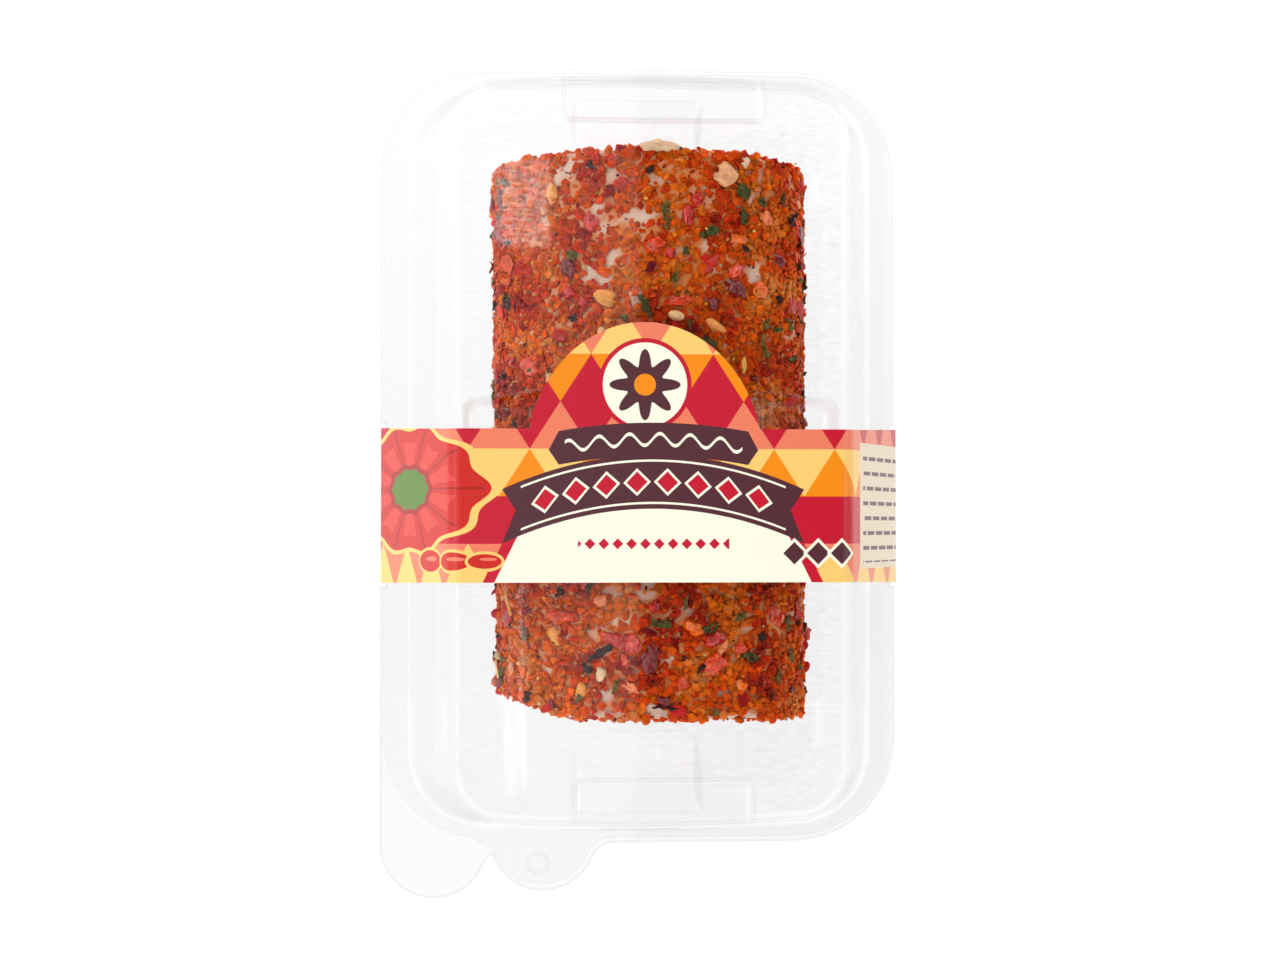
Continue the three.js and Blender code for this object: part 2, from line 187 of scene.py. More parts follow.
def block(low, high, edge_round=0):
    """A block between two corners, with all its edges rounded, as a tool to cut with."""
    bpy.ops.object.select_all(action="DESELECT")
    bpy.ops.mesh.primitive_cube_add(size=1)
    tool = bpy.context.object
    for vertex in tool.data.vertices:
        vertex.co = Vector([(high if c > 0 else low)[i] for i, c in enumerate(vertex.co)]) * MM
    if edge_round:
        round_edges(tool, edge_round, lambda middle: True)
    return tool


def combine(piece, tool, operation):
    """Joins a tool to a piece or cuts it out, and takes the tool away."""
    pick(piece)
    modifier = piece.modifiers.new(operation, "BOOLEAN")
    modifier.operation = operation
    modifier.object = tool
    modifier.solver = "EXACT"
    bpy.ops.object.modifier_apply(modifier=modifier.name)
    bpy.data.objects.remove(tool)


def cut_sleeve_nicks(rim):
    """Cuts the nick in both long edges of a rim that the sleeve sits in."""
    for side in (-1, 1):
        low, high = sorted((side * SLEEVE_EDGE, side * 50))
        combine(rim, block((low, SLEEVE_SPAN[0], 0), (high, SLEEVE_SPAN[1], 50)), "DIFFERENCE")


def open_into_sheet(piece, thickness, drop):
    """Deletes the faces that drop picks, by normal and middle, and gives what stays a wall."""
    edit_parts(piece, "FACE", lambda face: drop(face.normal, face.calc_center_median() / MM))
    bpy.ops.mesh.delete(type="FACE")
    bpy.ops.mesh.select_all(action="SELECT")
    bpy.ops.mesh.remove_doubles(threshold=0.01 * MM)
    bpy.ops.object.mode_set(mode="OBJECT")
    wall = piece.modifiers.new("Wall", "SOLIDIFY")
    wall.thickness = thickness * MM
    wall.offset = -1
    wall.use_even_offset = True
    bpy.ops.object.modifier_apply(modifier=wall.name)
    bpy.ops.object.shade_smooth_by_angle(angle=SMOOTH_ANGLE)


def away_from_ring(x, y):
    """True outside the small raised ring on the lid's tab."""
    return math.hypot(x - TAB_RING[0], y - TAB_RING[1]) > RING_REACH


def mark_cut_edge(piece, top_z, half_width, half_length, radius):
    """Rounds the cut edge round a rim, and marks it for the finish, which lets less through there: painted
    shade standing in for the light that is caught in the edge.
    """
    def at_cut(middle):
        return abs(middle.z - top_z) < EDGE_TOLERANCE and away_from_ring(middle.x, middle.y)
    round_edges(piece, CUT_ROUND, at_cut)
    marks = []
    for face in piece.data.polygons:
        x, y, z = face.center / MM
        corner = math.hypot(max(abs(x) - half_width + radius, 0), max(abs(y) - half_length + radius, 0))
        on_rim = corner > radius - CUT_STRIP and abs(z - top_z) < SHEET + 0.1
        # The mark is painted shade; the top of the tab's small ring gets a weaker one.
        if away_from_ring(x, y):
            mark = float(on_rim)
        else:
            mark = RING_MARK if z > top_z else 0.0
        marks.append(mark if abs(face.normal.z) < 0.97 else 0.0)
    edge = piece.data.attributes.new("cut_edge_shade", "FLOAT", "FACE")
    edge.data.foreach_set("value", marks)
    pick(piece)
    bpy.ops.object.shade_smooth_by_angle(angle=SMOOTH_ANGLE)
    flat = piece.modifiers.new("Flat faces stay flat", "WEIGHTED_NORMAL")
    flat.keep_sharp = True
    bpy.ops.object.modifier_apply(modifier=flat.name)


rings = []
for step in range(ROUND_STEPS + 1):
    angle = step / ROUND_STEPS * (math.pi / 2 - DRAFT)
    z = FOOT_ROUND * (1 - math.cos(angle))
    sizes = between(BOWL_FOOT, BOWL_MOUTH, z / RIM_Z)
    rings.append(rounded_rectangle(**grown(sizes, -FOOT_ROUND * (1 - math.sin(angle))), z=z))
for step in range(ROUND_STEPS + 1):
    angle = (1 - step / ROUND_STEPS) * (math.pi / 2 - DRAFT)
    z = RIM_Z - RIM_FILLET * (1 - math.cos(angle)) + 0.01
    sizes = between(BOWL_FOOT, BOWL_MOUTH, z / RIM_Z)
    rings.append(rounded_rectangle(**grown(sizes, RIM_FILLET * (1 - math.sin(angle))), z=z))
rings.append([(x, y, RIM_Z + SHEET) for x, y, z in rings[-1]])
tray = stacked_form("tray_sheet", rings)

channel = block((-50, SLEEVE_SPAN[0], -5), (50, SLEEVE_SPAN[1], CHANNEL_CEILING), CHANNEL_ROUND)
combine(tray, channel, "DIFFERENCE")
for end, head in BUTTRESS_HEADS.items():
    low, high = sorted((head, end * 70))
    tool = block((BUTTRESS_X[0], low, BUTTRESS_FOOT), (BUTTRESS_X[1], high, BUTTRESS_TOP))
    for vertex in tool.data.vertices:
        if vertex.co.z < 0 and vertex.co.y * end < 60 * MM:
            run_in = BUTTRESS_SLOPE * (1 - BUTTRESS_FOOT / BUTTRESS_TOP)
            vertex.co.y = (head - end * run_in) * MM
    round_edges(tool, BUTTRESS_ROUND, lambda middle: middle.z > 0)
    combine(tray, tool, "DIFFERENCE")
round_edges(tray, RECESS_ROUND, lambda middle: middle.z < 12)

outline = rim_corners(**TRAY_RIM) + arc(*OUTER_TAB, 1, 1.89, 24) + [TAB_CLEFT]
outline += tab_and_fillet(INNER_TAB, 1.11, -TRAY_RIM["half_length"])
rim = stacked_form("tray_rim", [raised(outline, RIM_Z), raised(outline, RIM_Z + SHEET)])
cut_sleeve_nicks(rim)
combine(tray, rim, "UNION")
open_into_sheet(
    tray, SHEET,
    lambda normal, middle: middle.z > RIM_Z + SHEET - EDGE_TOLERANCE
    or (abs(normal.z) < 0.3 and middle.z > RIM_Z + 0.1),
)
mark_cut_edge(tray, RIM_Z + SHEET, **TRAY_RIM)

# The sheet shows what is behind it. It mirrors more, and lets less through, the flatter one looks at it. The
# plateau mirrors in fine streaks, as it was stretched most.
THROUGH = 0.995
# Along the marked cut edges the sheet lets less through: painted shade standing in for the light caught in
# the edge.
THROUGH_CUT_EDGE = 0.90
THROUGH_IN_SHADE = 0.99
HEAD_ON_MIRROR = 0.03
GRAZING_MIRROR = 0.32
STREAKS = (700, 2400, 700)
STREAK_DEPTH = 0.14
STREAKS_FROM = (38.3 * MM, 38.8 * MM)


def blank_finish(name):
    """A new material, its tree of nodes and its main shader."""
    material = bpy.data.materials.new(name)
    material.use_nodes = True
    return material, material.node_tree, material.node_tree.nodes["Principled BSDF"]


def feed(made, sockets):
    """Sets the sockets of a node in the tree in hand to values, or links them to outputs."""
    for socket, value in sockets.items():
        if isinstance(value, bpy.types.NodeSocket):
            tree.links.new(value, made.inputs[socket])
        else:
            made.inputs[socket].default_value = value


def node(kind, sockets, output=0, **settings):
    """An output of a new node in the tree in hand, with its settings made and its sockets fed."""
    made = tree.nodes.new("ShaderNode" + kind)
    for name, value in settings.items():
        setattr(made, name, value)
    feed(made, sockets)
    return made.outputs[output]


def maths(operation, *terms):
    """The result of a Math node on numbers and other outputs."""
    return node("Math", dict(enumerate(terms)), operation=operation)


def ramped(value, low, high, bottom, top):
    """A value taken from one range to another, and held at its ends."""
    ends = {"From Min": low, "From Max": high, "To Min": bottom, "To Max": top}
    return node("MapRange", {"Value": value, **ends})


def grey(level):
    """A colour without a tone."""
    return level, level, level, 1


clear, tree, surface = blank_finish("clear_sheet")
tree.nodes.remove(surface)
place = node("TexCoord", {}, "Object")
stretched = node("VectorMath", {0: place, 1: STREAKS}, operation="MULTIPLY")
streaks = node("TexNoise", {"Vector": stretched, "Scale": 1, "Detail": 1})
on_plateau = ramped(node("SeparateXYZ", {"Vector": place}, "Z"), *STREAKS_FROM, 0, STREAK_DEPTH)
head_on = maths("MULTIPLY_ADD", maths("SUBTRACT", streaks, 0.5), on_plateau, HEAD_ON_MIRROR)
grazing = maths("POWER", node("LayerWeight", {}, "Facing"), 5)
mirror = maths("MULTIPLY_ADD", grazing, GRAZING_MIRROR, head_on)
# The cut-edge mark lowers what shows through the sheet: painted shade.
cut_edge_shade = node("Attribute", {}, "Fac", attribute_name="cut_edge_shade")
tint = node(
    "Mix", {"Factor": cut_edge_shade, "A": grey(THROUGH), "B": grey(THROUGH_CUT_EDGE)}, "Result", data_type="RGBA"
)
waves = node("TexNoise", {"Vector": place, "Scale": 90})
ripples = node("Bump", {"Strength": 0.04, "Distance": 0.0004, "Height": waves})
gloss = node("BsdfGlossy", {"Roughness": 0.03, "Normal": ripples})
sheet = node("MixShader", {0: mirror, 1: node("BsdfTransparent", {"Color": tint}), 2: gloss})
shaded = node("BsdfTransparent", {"Color": grey(THROUGH_IN_SHADE)})
whole = node("MixShader", {0: node("LightPath", {}, "Is Shadow Ray"), 1: sheet, 2: shaded})
feed(tree.nodes["Material Output"], {"Surface": whole})
tray.data.materials.clear()
tray.data.materials.append(clear)
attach(tray, "root")
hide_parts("tray")

# The cheese
# A slumped cylinder of white fresh cheese with softly uneven sides. Its ends are cut, the near one askew. The
# coating's juice has stained it, but for small bare patches, which are listed by place and half size.
ROLL = {"half_width": 21.75, "half_height": 16.35, "x": 1, "z": 19.3, "near": -37.4, "far": 42.0}
SQUARENESS = 2.25
EDGE_ROUND = 1.8
AROUND = 160
ALONG = 110
NEAR_CORNER = {"x": -11, "width": 11, "pull": 2.9, "ease": 1.4}
NEAR_SKEW = 0.02
END_BULGE = 1.2
FAR_SWELL = 0.38
NEAR_SHIFT = 0.35
SWELLS = ((0.45, 110, 0), (0.28, 330, 7), (0.12, 1100, 0))
RAGGED_SCALE = 0.9
RAGGED_REACH = 0.8
NOISE_SEED = 5
MOIST_CHEESE = (0.70, 0.50, 0.39)
JUICE_STAIN = (0.66, 0.20, 0.045)
BARE_PATCHES = (
    (-11.3, 39.2, 1.0, 1.6), (-13.1, 38.2, 0.8, 1.4), (-5.6, 38.7, 1.2, 2.2), (-7.3, 34.0, 1.3, 1.6),
    (-2.0, 32.2, 2.6, 1.2), (-6.0, 30.9, 1.2, 1.2), (-5.1, 26.7, 1.2, 1.6), (-8.3, 24.2, 1.9, 1.9),
    (-6.1, 24.0, 1.5, 1.2), (-2.1, 20.6, 1.2, 1.4), (0.2, 37.4, 1.6, 1.4), (-0.6, 32.5, 1.2, 1.4),
    (4.4, 27.5, 0.9, 1.2), (15.3, 24.8, 0.9, 2.2), (7.8, 28.1, 1.0, 0.9), (-5.1, -19.6, 1.4, 1.2),
    (-0.5, -19.4, 1.6, 1.6), (-14.0, -19.8, 1.4, 0.8), (-13.1, -25.4, 1.1, 1.8), (-14.0, -30.5, 0.9, 1.6),
    (-6.0, -34.0, 1.2, 1.3), (-4.5, -23.2, 0.9, 0.9), (-2.5, -23.6, 1.4, 0.8), (5.1, -22.6, 1.1, 1.2),
    (2.5, -29.5, 1.2, 1.3), (12.6, -34.4, 1.2, 0.9), (14.1, -28.2, 0.6, 1.4), (13.7, -24.7, 1.4, 0.7),
    (10.0, -33.6, 0.9, 0.9), (0.9, -36.5, 1.8, 1.2), (10.2, -37.5, 2.4, 1.0), (14.1, -37.4, 1.8, 1.0),
    (-4.9, -36.5, 2.4, 1.0),
)


def roll_surface(angle, share, sunk=0.0):
    """Points on the roll, by their angle round it and their share of its length, and their normals."""
    c, s = np.cos(angle), np.sin(angle)
    reach = (np.abs(c) ** SQUARENESS + np.abs(s) ** SQUARENESS) ** (-1 / SQUARENESS)
    x = (ROLL["half_width"] - sunk) * reach * c
    z = (ROLL["half_height"] - sunk) * reach * s
    slope_x = np.sign(c) * np.abs(reach * c) ** (SQUARENESS - 1) / ROLL["half_width"]
    slope_z = np.sign(s) * np.abs(reach * s) ** (SQUARENESS - 1) / ROLL["half_height"]
    length = np.hypot(slope_x, slope_z)
    normals = np.stack([slope_x / length, np.zeros_like(x), slope_z / length], axis=-1)
    off_axis = (x / ROLL["half_width"]) ** 2
    from_corner = np.clip((NEAR_CORNER["x"] - x) / NEAR_CORNER["width"], 0, 1)
    corner = from_corner ** NEAR_CORNER["ease"] * NEAR_CORNER["pull"]
    low = ROLL["near"] + corner - NEAR_SKEW * x
    high = ROLL["far"] - END_BULGE * off_axis
    y = low + (high - low) * share
    x = x * (1 + FAR_SWELL * share / ROLL["half_width"]) + NEAR_SHIFT - FAR_SWELL * share
    return np.stack([x + ROLL["x"], y, z + ROLL["z"]], axis=-1), normals


def bareness(points):
    """How near each point on the upper side is to the middle of a bare patch, from 0 outside to 1."""
    near = np.zeros(len(points))
    ragged = [noise.noise_vector(Vector(point) * RAGGED_SCALE) for point in points.tolist()]
    points = points + RAGGED_REACH * np.array(ragged)
    for x, y, half_width, half_length in BARE_PATCHES:
        spread = ((points[:, 0] - x) / half_width) ** 2 + ((points[:, 1] - y) / half_length) ** 2
        near = np.maximum(near, np.where(points[:, 2] > ROLL["z"], 1 - spread, 0))
    return near


noise.seed_set(NOISE_SEED)
turns = -np.arange(AROUND) / AROUND * math.tau
length = ROLL["far"] - ROLL["near"]
end_reach = ROLL["half_height"] - EDGE_ROUND - 0.3
shares = [(0.0, (1 - step / 12) * end_reach + EDGE_ROUND) for step in range(13)]
for step in range(1, 7):
    angle = step / 6 * math.pi / 2
    shares.append((EDGE_ROUND * (1 - math.cos(angle)) / length, EDGE_ROUND * (1 - math.sin(angle))))
low = shares[-1][0]
inner = [(low + (1 - 2 * low) * step / ALONG, 0) for step in range(1, ALONG)]
shares = shares + inner + [(1 - share, sunk) for share, sunk in reversed(shares)]
rings = [roll_surface(turns, share, sunk)[0].tolist() for share, sunk in shares]
cheese = stacked_form("cheese", rings)
normals = [vertex.normal.copy() for vertex in cheese.data.vertices]
for vertex, normal in zip(cheese.data.vertices, normals):
    start = vertex.co.copy()
    swell = 0
    for height, scale, offset in SWELLS:
        swell += height * noise.noise(start * scale + Vector((offset, 0, 0)))
    vertex.co += normal * swell * MM
cheese.select_set(True)
bpy.ops.object.shade_smooth()
places = np.array([vertex.co[:] for vertex in cheese.data.vertices]) / MM
at_end = np.array([abs(normal.y) for normal in normals])
juice = cheese.data.attributes.new("juice", "FLOAT", "POINT")
juice.data.foreach_set("value", (1 - np.clip(bareness(places) * 2.2, 0, 1)) * (1 - 0.75 * at_end))


def colour_ramp(value, stops, interpolation="LINEAR"):
    """A colour picked by a value between stops."""
    made = tree.nodes.new("ShaderNodeValToRGB")
    made.color_ramp.interpolation = interpolation
    for number, (position, colour) in enumerate(stops):
        element = made.color_ramp.elements[number] if number < 2 else made.color_ramp.elements.new(1)
        element.position = position
        element.color = (*colour, 1)
    feed(made, {"Fac": value})
    return made.outputs["Color"]


white, tree, surface = blank_finish("fresh_cheese")
place = node("TexCoord", {}, "Object")
stain = node("TexNoise", {"Vector": place, "Scale": 260, "Detail": 4})
soaked = maths("MULTIPLY_ADD", node("Attribute", {}, "Fac", attribute_name="juice"), 0.35, stain)
grain = node("TexNoise", {"Vector": place, "Scale": 1500})
feed(surface, {
    "Roughness": 0.5,
    "Subsurface Weight": 0.25, "Subsurface Radius": (1.0, 0.6, 0.4), "Subsurface Scale": 0.0012,
    "Base Color": colour_ramp(soaked, ((0.44, MOIST_CHEESE), (0.86, JUICE_STAIN))),
    "Normal": node("Bump", {"Strength": 0.3, "Distance": 0.0002, "Height": grain}),
})
cheese.data.materials.append(white)
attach(cheese, "root")
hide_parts("cheese_roll")

# The pepper coating
# Crushed dried peppers, onion and herbs that the roll is turned in. Soft angular granules lie side by side in
# the moist cheese and leave small patches bare. Larger chunks, leaves and onion lie on and between them.
SPACING = 0.88
ROW_PITCH = SPACING * 0.87
NUDGE = 0.34
LEFT_OUT = 0.06
AT_EACH_END = 900
CRUMBS = 5200
CRUMB_NUDGE = 0.45
FLAKES = 260
SMOOTH_PIECE = math.radians(50)
FOOT_COLOUR = (0.60, 0.11, 0.010)
random = np.random.default_rng(20927)


def small_shape(start, smooth=0):
    """The corners and faces of a small chip or ball, from which the pieces are squeezed."""
    bpy.ops.object.select_all(action="DESELECT")
    if start == "chip":
        bpy.ops.mesh.primitive_cube_add(size=2)
        bpy.ops.object.mode_set(mode="EDIT")
        bpy.ops.mesh.select_all(action="SELECT")
        bpy.ops.mesh.bevel(offset=0.99, affect="VERTICES", clamp_overlap=True)
        bpy.ops.mesh.select_all(action="SELECT")
        bpy.ops.mesh.remove_doubles(threshold=0.1)
        bpy.ops.object.mode_set(mode="OBJECT")
    else:
        bpy.ops.mesh.primitive_ico_sphere_add(subdivisions=smooth, radius=1)
    shape = bpy.context.object
    corners = np.array([vertex.co[:] for vertex in shape.data.vertices])
    faces = [list(polygon.vertices) for polygon in shape.data.polygons]
    bpy.data.objects.remove(shape)
    return corners, faces


def frames_on(normals, spin, lean):
    """Axes for pieces that lie on the roll, spun about its normal and leaning at random."""
    count = len(normals)
    normals = normals + lean * random.normal(size=(count, 3))
    normals /= np.linalg.norm(normals, axis=1, keepdims=True)
    side = np.cross([0.001, 1, 0.001], normals)
    side /= np.linalg.norm(side, axis=1, keepdims=True)
    along = np.cross(normals, side)
    c, s = np.cos(spin)[:, None], np.sin(spin)[:, None]
    return np.stack([c * side + s * along, c * along - s * side, normals], axis=1)


def joined_pieces(
    name, shape, centres, axes, sizes, tints, skew=0.0, foot=None, bend=0.0, wave=0.0, crumple=None
):
    """
    Many small pieces as one mesh: each is the shape, squeezed to its sizes, skewed, bent, waved and crumpled,
    and its colour turns to that of the foot, if given, towards its underside.
    """
    corners, faces = shape
    count = len(centres)
    products = corners[:, [0, 1, 2]] * corners[:, [1, 2, 0]]
    skewed = np.einsum("vk,nkj->nvj", corners, np.eye(3) + skew * random.normal(size=(count, 3, 3)))
    skewed += np.einsum("vk,nkj->nvj", products, 0.6 * skew * random.normal(size=(count, 3, 3)))
    skewed[:, :, 2] += bend * random.normal(size=(count, 1)) * skewed[:, :, 1] ** 2
    phase = random.uniform(0, math.tau, size=(count, 1))
    across, along = skewed[:, :, 0], skewed[:, :, 1]
    skewed[:, :, 2] += wave * np.sin(along * 3.3 + phase) + wave * np.sin(across * 2.6 - phase)
    placed = np.einsum("nvk,nkj->nvj", skewed * sizes[:, None, :], axes) + centres[:, None, :]
    if crumple:
        amount, size = crumple
        for octave in (1, 2.7):
            points = placed.reshape(-1, 3).tolist()
            dents = [noise.noise_vector(Vector(point) * octave / size) for point in points]
            placed += np.array(dents).reshape(placed.shape) * amount / octave
    mesh = bpy.data.meshes.new(name)
    firsts = range(0, count * len(corners), len(corners))
    all_faces = [[first + corner for corner in face] for first in firsts for face in faces]
    mesh.from_pydata((placed.reshape(-1, 3) * MM).tolist(), [], all_faces)
    tint = mesh.attributes.new("tint", "FLOAT_COLOR", "POINT")
    shade = np.exp(0.12 * random.normal(size=(count, len(corners), 1)))
    colours = np.ones((count, len(corners), 4))
    colours[:, :, :3] = np.clip(tints[:, None, :] * shade, 0, 0.95)
    if foot:
        height = np.clip(skewed[:, :, 2:] * 0.7 + 0.75, 0, 1)
        colours[:, :, :3] = np.array(foot) * (1 - height) + colours[:, :, :3] * height
    tint.data.foreach_set("color", colours.ravel())
    piece = bpy.data.objects.new(name, mesh)
    bpy.context.collection.objects.link(piece)
    pick(piece)
    turn_outwards()
    bpy.ops.object.shade_smooth_by_angle(angle=SMOOTH_PIECE)
    return piece


def patchiness(points, scale, offset):
    """A smooth random value for each point, from -1 to 1."""
    return np.array([noise.noise(Vector(p) * scale + Vector((offset, 0, 0))) for p in points.tolist()])


def tinted(palette, count, spread):
    """A colour for each piece, picked from a palette, and lightened or darkened a little."""
    picks = np.array(palette)[random.integers(len(palette), size=count)]
    shade = np.exp(spread * random.normal(size=(count, 1)))
    return np.clip(picks * shade * np.exp(0.05 * random.normal(size=(count, 3))), 0.001, 0.92)


def over_plan(x, y):
    """The places on the roll's upper side, and its normals there, that lie over points of the plan."""
    upper = np.linspace(0, math.pi, 721)
    across = roll_surface(upper, 0.5)[0][:, 0]
    angle = np.interp(x, across[::-1], upper[::-1])
    near, far = roll_surface(angle, 0.0)[0][:, 1], roll_surface(angle, 1.0)[0][:, 1]
    return roll_surface(angle, (y - near) / (far - near))


def finished(piece, finish):
    """Gives a piece of the coating its finish, and puts it on the body."""
    piece.data.materials.append(finishes[finish])
    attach(piece, "root")


# The finishes of the moist bits of plant: how rough, glossy and lit inside they are, and how mottled.
MOIST_FINISHES = {
    "pepper_granules": (0.28, 0.06, 0.7, 0.25),
    "pepper_chunks": (0.16, 0.6, 0.4, 0.3),
    "herb_leaves": (0.42, 0.1, 0.05, 0.5),
    "onion": (0.3, 0.25, 0.6, 0.12),
}
finishes = {}
for name, (roughness, gloss, glow, mottle) in MOIST_FINISHES.items():
    finishes[name], tree, surface = blank_finish(name)
    mottling = node("TexNoise", {"Vector": node("TexCoord", {}, "Object"), "Scale": 1300, "Detail": 3})
    tint = node("Attribute", {}, "Color", attribute_name="tint")
    depth = ramped(mottling, 0.3, 0.7, 1 - mottle, 1 + mottle)
    feed(surface, {
        "Roughness": roughness, "Specular IOR Level": gloss,
        "Subsurface Weight": glow, "Subsurface Radius": (1.0, 0.3, 0.1), "Subsurface Scale": 0.0008,
        "Base Color": node("VectorMath", {0: tint, "Scale": depth}, operation="SCALE"),
        "Normal": node("Bump", {"Strength": 0.4, "Distance": 0.00015, "Height": mottling}),
    })

# Places for the granules: rows round the roll at even steps, each place nudged at random, and both ends.
fine_angles = np.linspace(0, math.tau, 2001)
section = roll_surface(fine_angles, 0.5)[0]
walk = np.concatenate([[0], np.cumsum(np.linalg.norm(np.diff(section, axis=0), axis=1))])
columns, rows = round(walk[-1] / SPACING), round(length / ROW_PITCH)
column, row = np.meshgrid(np.arange(columns), np.arange(rows))
steps_round = (column + 0.5 * (row % 2) + NUDGE * random.normal(size=column.shape)).ravel() / columns
angles = np.interp(steps_round % 1 * walk[-1], walk, fine_angles)
shares = ((row + 0.5 + NUDGE * random.normal(size=row.shape)) / rows).ravel()
spots, spot_normals = roll_surface(angles, np.clip(shares, 0.001, 0.999))
for end in (0.0, 1.0):
    turn = random.uniform(0, math.tau, size=AT_EACH_END)
    inset = ROLL["half_height"] - (ROLL["half_height"] - 0.8) * np.sqrt(random.uniform(size=AT_EACH_END))
    cap_spots = roll_surface(turn, end, inset)[0]
    cap_spots[:, 1] += (1 - 2 * end) * np.clip(EDGE_ROUND - inset, 0, None) * 0.5
    spots = np.concatenate([spots, cap_spots])
    spot_normals = np.concatenate([spot_normals, np.tile([0, 2 * end - 1, 0.02], (AT_EACH_END, 1))])
shuffle = random.permutation(len(spots))
spots, spot_normals = spots[shuffle], spot_normals[shuffle]
bare = patchiness(spots, 0.24, 3) + 0.6 * patchiness(spots, 0.6, 11)
covered = bare < 0.7 + 0.1 * random.normal(size=len(spots))
covered &= bareness(spots) < 0.36 + 0.22 * random.normal(size=len(spots))
covered &= random.uniform(size=len(spots)) > LEFT_OUT
reddish = patchiness(spots, 0.15, 31) + 0.6 * patchiness(spots, 0.45, 47)
reddish += 0.16 * random.normal(size=len(spots))

REDDER = (-0.9, -0.45, 0.0, 0.35, 0.62, 0.95)
REDDER_COLOURS = (
    (0.68, 0.23, 0.055), (0.66, 0.128, 0.004), (0.62, 0.076, 0.001), (0.53, 0.038, 0.001),
    (0.38, 0.015, 0.003), (0.22, 0.007, 0.004),
)
GRANULES = (
    ("amber_granules", -9, -0.36), ("orange_granules", -0.36, 0.12), ("scarlet_granules", 0.12, 0.5),
    ("red_granules", 0.5, 9),
)
chip = small_shape("chip")
for name, low, high in GRANULES:
    chosen = covered & (reddish > low) & (reddish <= high)
    centres, normals = spots[chosen], spot_normals[chosen]
    count = len(centres)
    lateral = random.uniform(0.34, 0.62, size=(count, 1))
    lateral = lateral * random.uniform((0.8, 0.8), (1.2, 1.3), size=(count, 2))
    sizes = np.concatenate([lateral, random.uniform(0.26, 0.42, size=(count, 1))], axis=1)
    centres = centres + normals * random.uniform(-0.1, 0.25, size=(count, 1))
    axes = frames_on(normals, random.uniform(0, math.tau, size=count), 0.22)
    channels = [np.interp(reddish[chosen], REDDER, channel) for channel in zip(*REDDER_COLOURS)]
    tints = np.stack(channels, axis=1)
    tints *= np.exp(0.12 * random.normal(size=(count, 1)))
    piece = joined_pieces(name, chip, centres, axes, sizes, tints, skew=0.18, foot=FOOT_COLOUR)
    finished(piece, "pepper_granules")

# Crumbs lie between and on the granules. They are as mixed in colour, with some dark bits.
picked = random.integers(len(spots), size=CRUMBS)
nudge = random.normal(size=(CRUMBS, 3)) * CRUMB_NUDGE
nudge -= spot_normals[picked] * np.sum(nudge * spot_normals[picked], axis=1, keepdims=True)
centres = spots[picked] + nudge + spot_normals[picked] * random.uniform(0.0, 0.55, size=(CRUMBS, 1))
axes = frames_on(spot_normals[picked], random.uniform(0, math.tau, size=CRUMBS), 0.6)
sizes = random.uniform(0.13, 0.30, size=(CRUMBS, 1)) * random.uniform(0.7, 1.3, size=(CRUMBS, 3))
CRUMB_COLOURS = (
    (0.72, 0.13, 0.003), (0.68, 0.09, 0.003), (0.72, 0.19, 0.02), (0.50, 0.025, 0.007), (0.62, 0.06, 0.004),
    (0.72, 0.16, 0.010), (0.34, 0.013, 0.007), (0.10, 0.02, 0.012), (0.72, 0.30, 0.10),
)
tints = tinted(CRUMB_COLOURS, CRUMBS, 0.2)
crumbs = joined_pieces("crumbs", small_shape("ball", smooth=1), centres, axes, sizes, tints, skew=0.25)
finished(crumbs, "pepper_granules")


LISTED_ABOVE = 27
LISTED_BEYOND = 18
LISTED_BEFORE = -19


def elsewhere(count):
    """Random places on the roll, outside the part of its top where the larger pieces are listed."""
    angle = random.uniform(0, math.tau, size=4 * count)
    places, normals = roll_surface(angle, random.uniform(0.01, 0.99, size=4 * count))
    listed = (places[:, 1] > LISTED_BEYOND) | (places[:, 1] < LISTED_BEFORE)
    listed &= places[:, 2] > LISTED_ABOVE
    return places[~listed][:count], normals[~listed][:count]


def placed_and_scattered(
    name, table, palette, usual, count, thickness, rise, finish, slot="pepper_coating", **form
):
    """
    A kind of larger piece: those in the table, by place, width, length, turn and colour, and a count of
    others elsewhere, which have fewer faces, in the first, usual colours of the palette.
    """
    listed = np.array([row[:5] for row in table], float)
    alike = listed[random.integers(len(listed), size=count), 2:4] * random.uniform(0.7, 1.1, size=(count, 2))
    colours = np.array([palette[row[5]] for row in table])
    others = elsewhere(count)
    turns = random.uniform(0, math.tau, size=count)
    other_colours = tinted(list(palette.values())[:usual], count, 0.15)
    kinds = (
        (3, *over_plan(listed[:, 0], listed[:, 1]), listed[:, 2:4], np.radians(listed[:, 4]), colours),
        (2, *others, alike, turns, other_colours),
    )
    pieces = []
    for smooth, centres, normals, across, spin, tints in kinds:
        thick = np.minimum(thickness, across[:, :1] / 2) * random.uniform(0.8, 1.2, size=(len(across), 1))
        sizes = np.concatenate([across / 2, thick], axis=1)
        shape, axes = small_shape("ball", smooth), frames_on(normals, spin, 0.12)
        pieces.append(joined_pieces(name, shape, centres + normals * rise, axes, sizes, tints, **form))
    pieces[0].select_set(True)
    bpy.context.view_layer.objects.active = pieces[0]
    bpy.ops.object.join()
    finished(pieces[0], finish)


